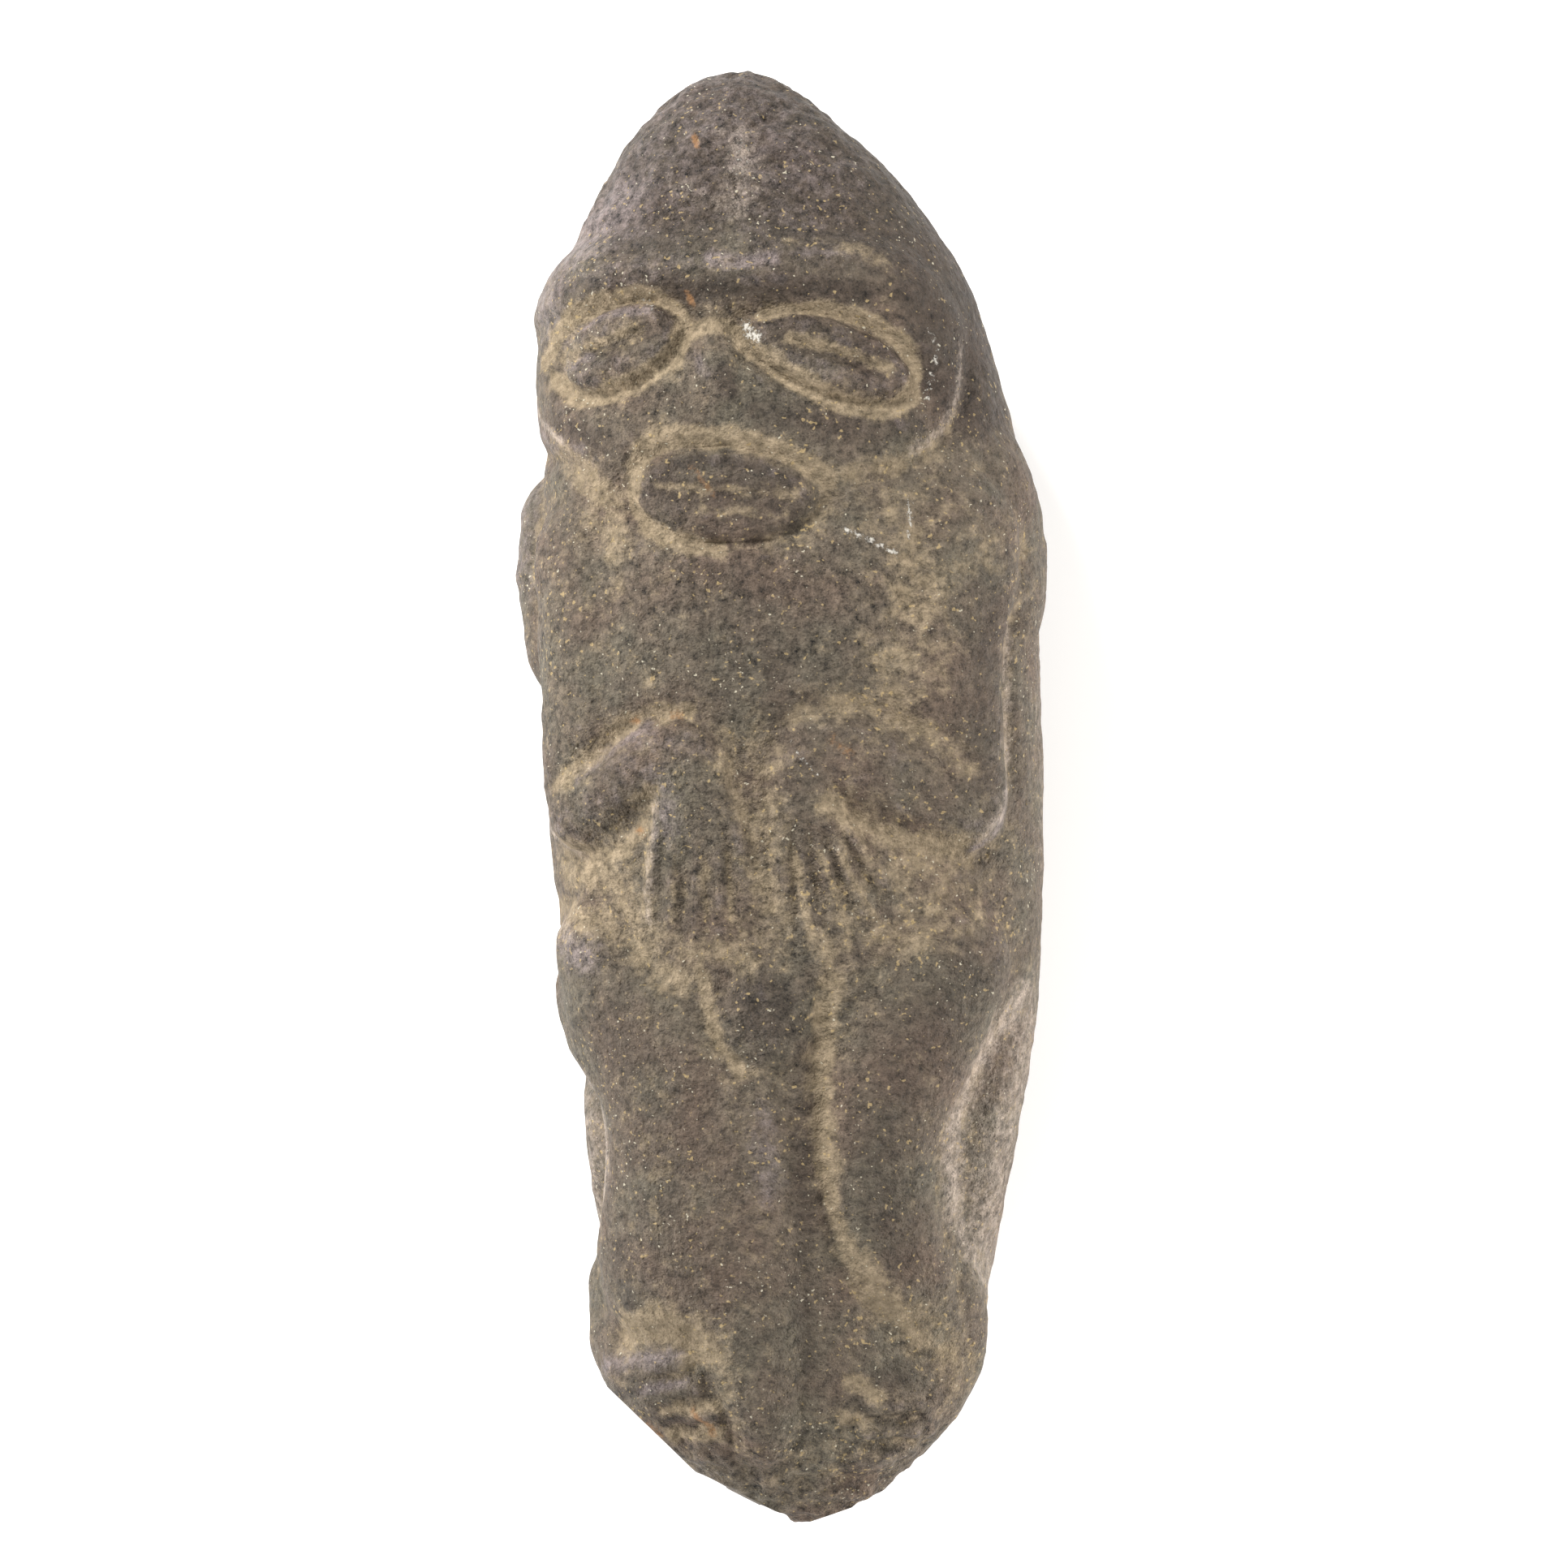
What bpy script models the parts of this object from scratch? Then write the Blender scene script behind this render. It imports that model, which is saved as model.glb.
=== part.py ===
# A figural stone celt, lying on its back: one carved stone, in metres, +Z up.
# The crown of the figure points along +Y, the bit along -Y, and the face looks up.

import math

import bmesh
import bpy
import numpy as np
from mathutils import Vector

# Driving dimensions
LENGTH = 0.240  # crown to bit
WIDTH = 0.0885  # across the shoulders
DEPTH = 0.0620  # front to back of the stone before it was carved
RELIEF = 0.0028  # how far a full limb stands above the ground pecked round it
GROOVE = 0.0019  # depth of a full groove
REST_FLAT = 0.0008  # worn off the back, where the stone lies

# The tables below are drawn in millimetres on a stone of this size, seen from above, with x from
# the line between crown and bit and y along it. They follow LENGTH, WIDTH and DEPTH.
DRAWN_LENGTH = 240.4
DRAWN_WIDTH = 88.5
DRAWN_DEPTH = 62.0

# How finely the stone is shaped, and how many facets are kept
RINGS = 400
SEGMENTS = 280
FACETS = 9300
CROWDING = 0.35  # how much closer together the points lie on the front than on the flanks
WALL_STEPS = 24

# The stone before carving: y, left side, right side, height of the front, depth of the back
STATIONS = (
    (120.2, 0.0, 0.0, 0.0, 0.0),
    (112.0, -15.4, 16.0, 14.5, 14.0),
    (100.0, -23.6, 27.2, 21.5, 20.5),
    (84.0, -31.1, 37.0, 27.0, 26.0),
    (62.0, -33.4, 43.0, 30.0, 28.4),
    (32.0, -35.6, 45.9, 31.0, 30.4),
    (0.0, -36.1, 45.7, 30.5, 31.0),
    (-36.0, -33.8, 43.1, 29.0, 29.4),
    (-68.0, -31.9, 36.3, 26.5, 26.0),
    (-90.0, -30.0, 31.0, 21.5, 20.8),
    (-104.0, -23.6, 25.4, 15.5, 14.5),
    (-112.0, -16.4, 17.2, 10.0, 9.0),
    (-120.2, 0.0, 0.0, 0.0, 0.0),
)
FRONT_FULLNESS = 2.5  # 2 is an ellipse, more is boxier
BACK_FULLNESS = 2.2
BLEND = 0.18  # how softly raised forms run together, as a share of RELIEF
LAST_TURN = math.radians(150)  # how far round from the crest the carving goes
FADE_TURN = math.radians(50)

# Broad raised fields: outline, height as a share of RELIEF, width of the rounded side
FACE = (
    (
        (-42, 82), (-42, 66), (-37, 60), (-31, 57), (-24, 55), (-18, 48), (-12, 43), (-3, 41), (6, 43),
        (12, 47.5), (17, 50.5), (24, 52), (30, 56), (34, 62), (35.6, 69), (35, 78), (30, 86), (15, 89),
        (-2, 88), (-16, 90), (-30, 89),
    ),
    0.60,
    3.2,
)
CHEST = (
    (
        (-27, 42), (-20, 46), (-4, 48), (12, 46), (26, 44), (30, 22), (29, 8), (20, 13), (10, 15), (1, 13),
        (-7, 14.5), (-16, 16), (-25, 12), (-28, 22),
    ),
    0.66,
    5.0,
)
SHINS = (
    (
        (-37, -27), (-30, -20), (-22, -26), (-14, -38), (-5, -46), (1, -56), (2, -74), (1, -92), (-2, -108),
        (-10, -108), (-13, -96), (-17, -88), (-26, -86), (-30, -80), (-30.4, -68), (-28.6, -57), (-30.4, -47),
        (-36, -38),
    ),
    0.88,
    3.0,
)

# Raised limbs: line of the crest, radii and heights along it, squareness, and the stretch of its two sides
HEAD_LIMBS = {
    "brow": (
        (
            (-40, 76), (-32, 84), (-25, 87.4), (-17, 89), (-9, 89), (0, 88.4), (9, 88), (18, 86.6),
            (26, 83.4), (32, 77),
        ),
        (4.5, 5.0, 5.2, 5.4, 5.8, 6.0, 5.8, 5.2, 4.6, 3.2),
        (0.5, 0.88, 1.0, 1.02, 1.06, 1.06, 1.0, 0.95, 0.8, 0.4),
        2.0,
        (1.0, 3.2),
    ),
    "nose": (((-4.2, 76.5), (-4.8, 71), (-4.6, 65.5)), (2.2, 4.8, 7.0), (0.45, 0.9, 0.94), 2.0),
}
ARM_LIMBS = {
    "left shoulder": (((-38, 46.5), (-40, 39), (-38, 30)), (9.0, 10.5, 10.0), (1.45, 1.72, 1.05), 3.0),
    "right shoulder": (((43, 49), (46, 40), (44.5, 31)), (10.0, 10.5, 8.0), (0.7, 1.0, 0.5), 2.2),
    "left upper arm": (
        ((-32, 38), (-31.5, 22), (-32, 8), (-31.2, -0.5)),
        (12.0, 10.8, 8.8, 6.6), (0.95, 0.9, 0.95, 1.0), 2.6,
    ),
    "right upper arm": (
        ((36, 40), (31.5, 22), (32, 8), (33.4, -3)), (12.0, 11.0, 9.0, 7.0), (0.9, 0.9, 0.95, 1.0), 3.0,
    ),
    "left forearm": (
        ((-31, -0.5), (-25.5, 3), (-18.5, 7.6), (-12, 7.5)), (5.6, 5.8, 6.0, 6.8), (1.0, 1.0, 1.05, 1.0), 2.4,
    ),
    "right forearm": (
        ((33, -3.6), (25.5, 0.2), (17, 5), (9, 7)), (6.4, 6.6, 6.8, 7.2), (1.0, 0.98, 1.0, 0.9), 2.4,
    ),
    "left palm": (((-11.4, 6), (-11.4, -3), (-11.6, -16)), (7.2, 8.0, 9.6), (1.0, 0.86, 0.20), 2.8),
    "right palm": (((6.4, 5), (6.4, -3), (9.0, -14)), (5.6, 6.4, 9.6), (0.9, 0.78, 0.16), 2.8),
}
LEG_LIMBS = {
    "left knee": (((-31, -24), (-29.5, -32)), (9.6, 10.5), (1.18, 1.1), 2.6),
    "left shin": (
        ((-28, -33), (-20.5, -44), (-18, -57), (-19.5, -70), (-21.5, -81)),
        (10.0, 12.5, 12.0, 12.0, 10.5), (1.05, 1.0, 0.98, 0.98, 0.88), 2.6,
    ),
    "right shin": (
        ((30, -28), (22.4, -41), (17.2, -51), (15.4, -60.5), (16.6, -71), (21, -82), (25, -89)),
        (10.4, 12.4, 10.6, 9.4, 9.2, 8.0, 6.0), (1.05, 1.05, 1.05, 1.02, 0.94, 0.76, 0.6), 3.0,
    ),
    "navel": (((-1.4, -34.6), (-1.4, -35.6)), (8.4, 8.4), (0.84, 0.84), 3.0),
    "left foot": (
        ((-33, -80), (-31.5, -89), (-24, -98), (-17, -104)), (6, 7.5, 8.5, 6), (0.7, 1.15, 0.7, 0.2), 2.2,
    ),
    "right foot": (
        ((29, -84), (28.5, -93), (20, -101), (14, -106)), (6, 7, 8, 6), (0.5, 0.85, 0.45, 0.2), 2.2,
    ),
}
FINGER_RADII = (1.6, 2.0, 1.9)
FINGER_HEIGHTS = (0.54, 0.66, 0.30)
LEFT_FINGERS = (
    ((-16.8, -2), (-18.0, -8), (-19.4, -17)), ((-14.2, -3), (-15.2, -9), (-16.4, -20)),
    ((-11.2, -3), (-11.6, -9), (-12.4, -21.6)), ((-8.2, -3), (-8.0, -8), (-8.4, -21)),
    ((-5.4, -2), (-4.8, -7), (-4.2, -17.6)),
)
RIGHT_FINGERS = (
    ((3.2, -2), (2.2, -8), (2.2, -18)), ((5.4, -3), (5.2, -9), (6.0, -20.6)),
    ((7.4, -3), (8.4, -9), (10.4, -21)), ((9.2, -2.8), (11.2, -8.4), (15.0, -19)),
    ((11, -2.2), (13.8, -7), (18.4, -14.6)),
)
TOE_RADII = (2.3, 2.2)
TOE_HEIGHTS = (0.72, 0.56)
LEFT_TOES = (
    ((-28.4, -91.6), (-18.4, -90.4)), ((-23.0, -95.6), (-16.4, -94.8)), ((-20.0, -99.6), (-13.6, -99.2)),
    ((-17.6, -103.6), (-12.4, -103.4)),
)
RIGHT_TOES = (
    ((19.5, -98.8), (12.6, -99.4)), ((18.4, -103.0), (11.4, -103.6)), ((16.4, -106.8), (10.4, -107.4)),
)

# Beans ringed by a groove: middle, half sizes, lean in degrees, height, depth of the ring, depth of the slit
BEANS = {
    "left eye": ((-20.4, 75.0), (11.2, 6.3), 19, 0.42, 1.0, 0.80),
    "right eye": ((13.6, 71.7), (12.8, 6.3), -21, 0.42, 1.0, 0.80),
    "mouth": ((-4.8, 49.4), (14.6, 6.9), -6, 0.20, 1.05, 0.42),
}
RING_INSIDE = 1.1  # how fast a ring rises to the bean
RING_OUTSIDE = 2.2
SLIT = 1.15

# Pecked grooves: line, width, and depth as a share of GROOVE
GROOVES = {
    "hollow over the brow": (((-24, 94), (-8, 94.6), (10, 93.6), (22, 91)), 2.6, 0.14),
    "right cheek": (((36.8, 71), (36.2, 64), (32.4, 57), (25, 52), (15, 49.6)), 1.7, 0.40),
    "left cheek": (((-36, 60), (-30, 56), (-24, 53.6)), 2.0, 0.45),
    "left side of the chest": (((-25.6, 49), (-20.5, 33)), 2.6, 0.28),
    "right side of the chest": (((23.8, 36), (20.8, 17)), 3.0, 0.26),
    "over the left forearm": (
        ((-32, 4), (-26, 9.8), (-18, 14.2), (-10.5, 13.6), (-5.6, 7), (-4, -2)), 1.8, 0.62,
    ),
    "under the left elbow": (((-35, -6.4), (-29, -7.2), (-23.4, -4.2), (-19.4, 0.6)), 2.0, 0.50),
    "over the right forearm": (((33.4, 3.6), (28, 9), (20, 12.8), (12, 14.8), (6, 13.4)), 1.9, 0.46),
    "under the right elbow": (((38.5, -4), (33, -11), (25, -10), (16, -5.6), (9.8, -0.6)), 2.1, 0.50),
    "outside the right arm": (((44.5, 31), (40.2, 25), (39.8, 10), (40.4, -3)), 1.8, 0.50),
    "left thigh": (((-36, -15), (-27, -18.8), (-20.5, -26), (-15.5, -33)), 2.2, 0.40),
    "right thigh": (((38, -20), (28, -23.5), (18, -30)), 2.6, 0.22),
    "inside the right leg": (
        (
            (13, -26), (7.6, -33), (6.6, -42), (6.6, -52), (6.8, -62), (7.8, -70), (10.4, -78), (15, -85),
            (20, -91),
        ),
        2.2, 0.55,
    ),
    "middle ridge": (((0.4, -54), (0.2, -74), (0.4, -92), (-0.4, -104)), 1.8, 0.16),
    "left flank": (
        ((-38, -37), (-34.4, -42), (-33.2, -48), (-32.8, -56), (-33.4, -63), (-35.4, -69)), 3.0, 1.2,
    ),
    "right flank": (
        ((43.4, -35), (38.6, -42), (34.6, -49), (32.4, -56), (32, -63), (32.8, -72), (35, -82)), 5.6, 1.05,
    ),
    "over the left foot": (((-29.5, -87.2), (-22.5, -85.8), (-14, -87.6)), 2.8, 0.85),
    "over the right foot": (((16, -84), (21, -89), (26, -93)), 3.2, 0.40),
}
FINGER_GAP = (0.75, 0.20)
TOE_GAP = (1.0, 0.20)

# Swellings and hollows: middle, half sizes, lean in degrees, height
SWELLINGS = {
    "pit in the crown": ((7.2, 111), (4.6, 3.6), 30, -0.36),
    "dent in the crown": ((12, 97), (6.0, 4.5), 0, -0.12),
    "bruise on the crown": ((-8, 106), (3.0, 2.5), 0, -0.12),
    "top of the nose": ((-4.5, 78.4), (7.5, 3.0), 0, -0.28),
    "left of the hands": ((-26.5, -13), (6.5, 5.5), 0, -0.22),
    "navel ring": ((-1.4, -35.1), (14.0, 14.0), 0, -0.16),
}

# Flakes struck off the bit: a point of the flake's face and the way it looks
FLAKES = (
    ((-24.6, -103.8, 0.0), (-0.70, -0.70, 0.10)),
    ((-12.0, -113.5, 0.0), (-0.50, -0.866, 0.14)),
    ((4.6, -118.7, 0.0), (0.28, -0.96, 0.10)),
    ((13.2, -113.9, 0.0), (0.52, -0.85, 0.0)),
    ((20.4, -107.4, 0.0), (0.66, -0.75, 0.12)),
    ((29.0, -100.2, 0.0), (0.84, -0.50, 0.15)),
)


def start_clean():
    for thing in list(bpy.data.objects):
        bpy.data.objects.remove(thing, do_unlink=True)


def smooth_through(knots, values, at):
    """A smooth curve through the values at the knots."""
    slopes = np.gradient(values, knots)
    i = np.clip(np.searchsorted(knots, at) - 1, 0, len(knots) - 2)
    span = knots[i + 1] - knots[i]
    t = (at - knots[i]) / span
    start = values[i] * (1 + 2 * t) * (1 - t) ** 2 + slopes[i] * span * t * (1 - t) ** 2
    end = values[i + 1] * t * t * (3 - 2 * t) + slopes[i + 1] * span * t * t * (t - 1)
    return start + end


def section(polar):
    """Middle, half width, front height and back depth of the stone, at a polar angle from the crown."""
    table = np.array(STATIONS)
    knots = np.arccos(np.clip(table[:, 0] / table[0, 0], -1, 1))
    left, right, front, back = (smooth_through(knots, table[:, c], polar) for c in range(1, 5))
    return (left + right) / 2, (right - left) / 2, front, back


def reach(turn, half, front, back):
    """Distance from the stone's core to its side, at a turn from the crest of the front."""
    sine, cosine = np.abs(np.sin(turn)), np.cos(turn)
    height = np.where(cosine > 0, front, back) + 1e-9
    power = np.where(cosine > 0, FRONT_FULLNESS, BACK_FULLNESS)
    width = half + 1e-9
    return ((sine / width) ** power + (np.abs(cosine) / height) ** power) ** (-1 / power)


def around(turn, half, front, back):
    """Length of the stone's skin from the crest of the front round to a turn."""
    total = np.zeros_like(turn)
    last = reach(np.zeros_like(turn), half, front, back)
    for step in range(1, WALL_STEPS + 1):
        now = reach(turn * step / WALL_STEPS, half, front, back)
        total += np.hypot(now - last, (now + last) / 2 * turn / WALL_STEPS)
        last = now
    return total * np.sign(turn)


def on_skin(points):
    """Points of the drawing as (distance round the skin, distance along it).

    What lies beyond the outline seen from above is carried on round the flank.
    """
    skin = []
    turns = np.radians(np.linspace(-89, 89, 179))
    for x, y in points:
        middle, half, front, back = section(np.full_like(turns, math.acos(y / STATIONS[0][0])))
        across = middle + reach(turns, half, front, back) * np.sin(turns)
        seen = np.clip(x, across[0], across[-1])
        skin.append((np.interp(seen, across, around(turns, half, front, back)) + x - seen, y))
    return np.array(skin)


def curve_through(points, closed=False, steps=6):
    """A Catmull-Rom curve through the points."""
    points = np.asarray(points, float)
    if closed:
        ring = np.vstack([points[-1:], points, points[:2]])
    else:
        ring = np.vstack([2 * points[0] - points[1], points, 2 * points[-1] - points[-2]])
    spots = []
    for a, b, c, d in zip(ring, ring[1:], ring[2:], ring[3:]):
        for t in np.arange(steps) / steps:
            bend = (2 * a - 5 * b + 4 * c - d) * t * t + (3 * b - a - 3 * c + d) * t**3
            spots.append(b + 0.5 * ((c - a) * t + bend))
    if not closed:
        spots.append(points[-1])
    return np.array(spots)


class Carving:
    """Levels of the carved skin: 0 is the ground, 1 is RELIEF above it."""

    def __init__(self, round_skin, along, turn):
        self.a = round_skin
        self.y = along
        self.front = np.clip((LAST_TURN - np.abs(turn)) / FADE_TURN, 0, 1)
        self.level = np.zeros_like(along)

    def nearest(self, spots, margin):
        """Which places are near a line of spots, how far off, what share along it, and on which side."""
        low, high = spots.min(0) - margin, spots.max(0) + margin
        here = (self.a > low[0]) & (self.a < high[0]) & (self.y > low[1]) & (self.y < high[1])
        here = np.nonzero(here)[0]
        a, y = self.a[here], self.y[here]
        best, share, side = np.full(len(here), np.inf), np.zeros(len(here)), np.ones(len(here))
        count = len(spots) - 1
        for n, (p, q) in enumerate(zip(spots, spots[1:])):
            run = q - p
            t = np.clip(((a - p[0]) * run[0] + (y - p[1]) * run[1]) / (run @ run + 1e-12), 0, 1)
            away = np.hypot(a - p[0] - t * run[0], y - p[1] - t * run[1])
            closer = away < best
            best = np.where(closer, away, best)
            share = np.where(closer, (n + t) / count, share)
            side = np.where(closer, np.sign(run[0] * (y - p[1]) - run[1] * (a - p[0])), side)
        return here, best, share, side

    def raise_to(self, here, raised):
        """Joins a raised form to what is there, with a soft crease, and lets it die away on the back."""
        front = self.front[here]
        raised = raised * front - (1 - front)
        level = self.level[here]
        near = np.maximum(BLEND - np.abs(level - raised), 0) / BLEND
        self.level[here] = np.maximum(level, raised) + near * near * BLEND / 4

    def sink(self, here, depth):
        self.level[here] -= depth * GROOVE / RELIEF * self.front[here]

    def limb(self, points, radii, heights, square, sides=(1.0, 1.0)):
        """A rounded limb along a line; sides stretch its right and left, looking along it."""
        here, away, share, side = self.nearest(curve_through(on_skin(points)), 2 * max(radii) * max(sides))
        radius = np.interp(share, np.linspace(0, 1, len(radii)), radii)
        height = np.interp(share, np.linspace(0, 1, len(heights)), heights)
        radius = radius * np.where(side > 0, sides[1], sides[0])
        self.raise_to(here, np.maximum(height * (1 - (away / radius) ** square), -1))

    def groove(self, points, width, depth):
        """A pecked groove that dies away at its ends."""
        here, away, share, _ = self.nearest(curve_through(on_skin(points)), 3 * width)
        ends = np.clip(np.minimum(share, 1 - share) * 6, 0, 1)
        self.sink(here, depth * (0.3 + 0.7 * ends) * np.exp(-((away / width) ** 2)))

    def oval(self, middle, size, lean):
        """Where an oval reaches, and how far out each place is: 0 at its middle and 1 on its rim."""
        a, y = on_skin([middle])[0]
        margin = 3 * max(size)
        here = np.nonzero((np.abs(self.a - a) < margin) & (np.abs(self.y - y) < margin))[0]
        a, y = self.a[here] - a, self.y[here] - y
        c, s = math.cos(math.radians(lean)), math.sin(math.radians(lean))
        return here, np.hypot((a * c + y * s) / size[0], (y * c - a * s) / size[1])

    def bean(self, middle, size, lean, height, ring, slit):
        """A swollen oval inside a ring, with a slit along it."""
        here, out = self.oval(middle, size, lean)
        away = (out - 1) * math.sqrt(size[0] * size[1]) - RING_INSIDE
        width = np.where(away < 0, RING_INSIDE, RING_OUTSIDE)
        self.sink(here, ring * np.exp(-((away / width) ** 2)))
        self.level[here] += height * np.maximum(1 - out**2.6, 0)
        c, s = math.cos(math.radians(lean)), math.sin(math.radians(lean))
        ends = [(middle[0] + k * size[0] * c, middle[1] + k * size[0] * s) for k in (-0.66, 0, 0.7)]
        self.groove(ends, SLIT, slit)

    def swell(self, middle, size, lean, height):
        """A low swelling on top of what is there, or a hollow if the height is negative."""
        here, out = self.oval(middle, size, lean)
        self.level[here] += height * np.exp(-(out**2) * 1.6) * self.front[here]

    def field(self, outline, height, edge):
        """A broad raised field with rounded sides."""
        spots = curve_through(on_skin(outline), closed=True)
        spots = np.vstack([spots, spots[:1]])
        here, away, _, _ = self.nearest(spots, 4 * edge)
        a, y = self.a[here], self.y[here]
        inside = np.zeros(len(here), bool)
        for p, q in zip(spots, spots[1:]):
            crosses = (p[1] > y) != (q[1] > y)
            inside ^= crosses & (a < p[0] + (y - p[1]) * (q[0] - p[0]) / (q[1] - p[1] + 1e-12))
        self.raise_to(here, height * np.where(inside, 1 - np.exp(-away / edge), np.maximum(-away / edge, -2)))


def gaps_between(digits):
    """The lines midway between neighbouring fingers or toes."""
    for near, far in zip(digits, digits[1:]):
        yield [((p[0] + q[0]) / 2, (p[1] + q[1]) / 2) for p, q in zip(near, far)]


def carve(stone):
    """Heart-shaped face with bean eyes and mouth, folded arms with hanging hands, and drawn-up legs."""
    stone.field(*FACE)
    stone.field(*CHEST)
    stone.field(*SHINS)
    for limbs in (HEAD_LIMBS, ARM_LIMBS, LEG_LIMBS):
        for limb in limbs.values():
            stone.limb(*limb)
    for fingers in (LEFT_FINGERS, RIGHT_FINGERS):
        for finger in fingers:
            stone.limb(finger, FINGER_RADII, FINGER_HEIGHTS, 2.0)
        for gap in gaps_between(fingers):
            stone.groove(gap, *FINGER_GAP)
    for toes in (LEFT_TOES, RIGHT_TOES):
        for toe in toes:
            stone.limb(toe, TOE_RADII, TOE_HEIGHTS, 2.0)
        for gap in gaps_between(toes):
            stone.groove(gap, *TOE_GAP)
    for bean in BEANS.values():
        stone.bean(*bean)
    for groove in GROOVES.values():
        stone.groove(*groove)
    for swelling in SWELLINGS.values():
        stone.swell(*swelling)


def shape_stone(ball):
    """Turns a ball's points into the carved stone."""
    places = np.empty(len(ball.vertices) * 3)
    ball.vertices.foreach_get("co", places)
    places = places.reshape(-1, 3)
    polar = np.arccos(np.clip(places[:, 2], -1, 1))
    turn = np.arctan2(places[:, 0], -places[:, 1])
    turn = turn - CROWDING * np.sin(turn)
    middle, half, front, back = section(polar)
    far = reach(turn, half, front, back)
    along = STATIONS[0][0] * np.cos(polar)
    to_real = np.array([WIDTH / DRAWN_WIDTH, LENGTH / DRAWN_LENGTH, DEPTH / DRAWN_DEPTH])
    skin = np.column_stack([middle + far * np.sin(turn), along, far * np.cos(turn)]) * to_real
    ball.vertices.foreach_set("co", skin.ravel())
    ball.update()
    normals = np.empty(len(skin) * 3)
    ball.vertex_normals.foreach_get("vector", normals)

    stone = Carving(around(turn, half, front, back), along, turn)
    carve(stone)
    skin = skin + normals.reshape(-1, 3) * stone.level[:, None] * RELIEF
    for spot, facing in FLAKES:
        face = np.array(facing) / np.linalg.norm(facing)
        skin -= np.maximum((skin - np.array(spot) * to_real) @ face, 0)[:, None] * face
    ball.vertices.foreach_set("co", np.round(skin, 6).ravel())
    ball.update()


def build_celt(collection):
    """The stone as a ball, shaped, thinned to its facets, and cut flat where it lies."""
    mesh = bpy.data.meshes.new("figural_celt")
    work = bmesh.new()
    bmesh.ops.create_uvsphere(work, u_segments=SEGMENTS, v_segments=RINGS, radius=1)
    bmesh.ops.triangulate(work, faces=work.faces[:])
    work.to_mesh(mesh)
    shape_stone(mesh)
    rough = bpy.data.objects.new("figural_celt_rough", mesh)
    collection.objects.link(rough)
    thin = rough.modifiers.new("facets", "DECIMATE")
    thin.ratio = FACETS / len(mesh.polygons)
    bpy.context.view_layer.update()
    facets = bpy.data.meshes.new_from_object(rough.evaluated_get(bpy.context.evaluated_depsgraph_get()))
    bpy.data.objects.remove(rough)

    work.clear()
    work.from_mesh(facets)
    lowest = min(v.co.z for v in work.verts)
    cut = bmesh.ops.bisect_plane(
        work,
        geom=work.verts[:] + work.edges[:] + work.faces[:],
        plane_co=(0, 0, lowest + REST_FLAT),
        plane_no=(0, 0, 1),
        clear_inner=True,
    )
    rim = [piece for piece in cut["geom_cut"] if isinstance(piece, bmesh.types.BMEdge)]
    bmesh.ops.holes_fill(work, edges=rim, sides=0)
    bmesh.ops.recalc_face_normals(work, faces=work.faces[:])
    low, high = (Vector([pick(v.co[k] for v in work.verts) for k in range(3)]) for pick in (min, max))
    middle = (low + high) / 2
    bmesh.ops.translate(work, verts=work.verts[:], vec=(-middle.x, -middle.y, -low.z))
    work.to_mesh(facets)
    work.free()
    facets.shade_smooth()
    facets.set_sharp_from_angle(angle=math.radians(65))
    celt = bpy.data.objects.new("figural_celt", facets)
    collection.objects.link(celt)
    return celt


def stone_material():
    """Dark grey-brown greenstone with a dull, weathered skin."""
    material = bpy.data.materials.new("weathered_stone")
    material.use_nodes = True
    shader = material.node_tree.nodes["Principled BSDF"]
    shader.inputs["Base Color"].default_value = (0.155, 0.132, 0.106, 1)
    shader.inputs["Roughness"].default_value = 0.72
    shader.inputs["Metallic"].default_value = 0.0
    return material


def main():
    start_clean()
    collection = bpy.data.collections.new("figural_stone_celt")
    bpy.context.scene.collection.children.link(collection)
    celt = build_celt(collection)
    celt.data.materials.append(stone_material())


main()
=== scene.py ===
# Figural stone celt lying on its back: carved greenstone with tan crust in its pecked grooves
import math

import bmesh
import bpy
import numpy as np
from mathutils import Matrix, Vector


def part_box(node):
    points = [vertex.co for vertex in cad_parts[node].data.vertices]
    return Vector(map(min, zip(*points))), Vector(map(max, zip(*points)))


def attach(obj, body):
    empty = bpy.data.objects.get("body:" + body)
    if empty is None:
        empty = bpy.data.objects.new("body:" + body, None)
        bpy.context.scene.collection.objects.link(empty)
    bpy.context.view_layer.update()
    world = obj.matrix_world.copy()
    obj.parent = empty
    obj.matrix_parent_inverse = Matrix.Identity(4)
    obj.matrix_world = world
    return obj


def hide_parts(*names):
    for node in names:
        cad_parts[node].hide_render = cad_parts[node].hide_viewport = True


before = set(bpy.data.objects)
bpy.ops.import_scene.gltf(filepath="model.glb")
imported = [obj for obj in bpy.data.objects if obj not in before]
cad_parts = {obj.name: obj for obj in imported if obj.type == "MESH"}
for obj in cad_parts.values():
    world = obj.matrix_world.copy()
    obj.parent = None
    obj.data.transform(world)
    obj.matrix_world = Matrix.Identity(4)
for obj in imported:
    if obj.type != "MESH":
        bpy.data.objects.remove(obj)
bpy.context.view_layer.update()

print("frame loaded")

mm = 0.001

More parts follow.
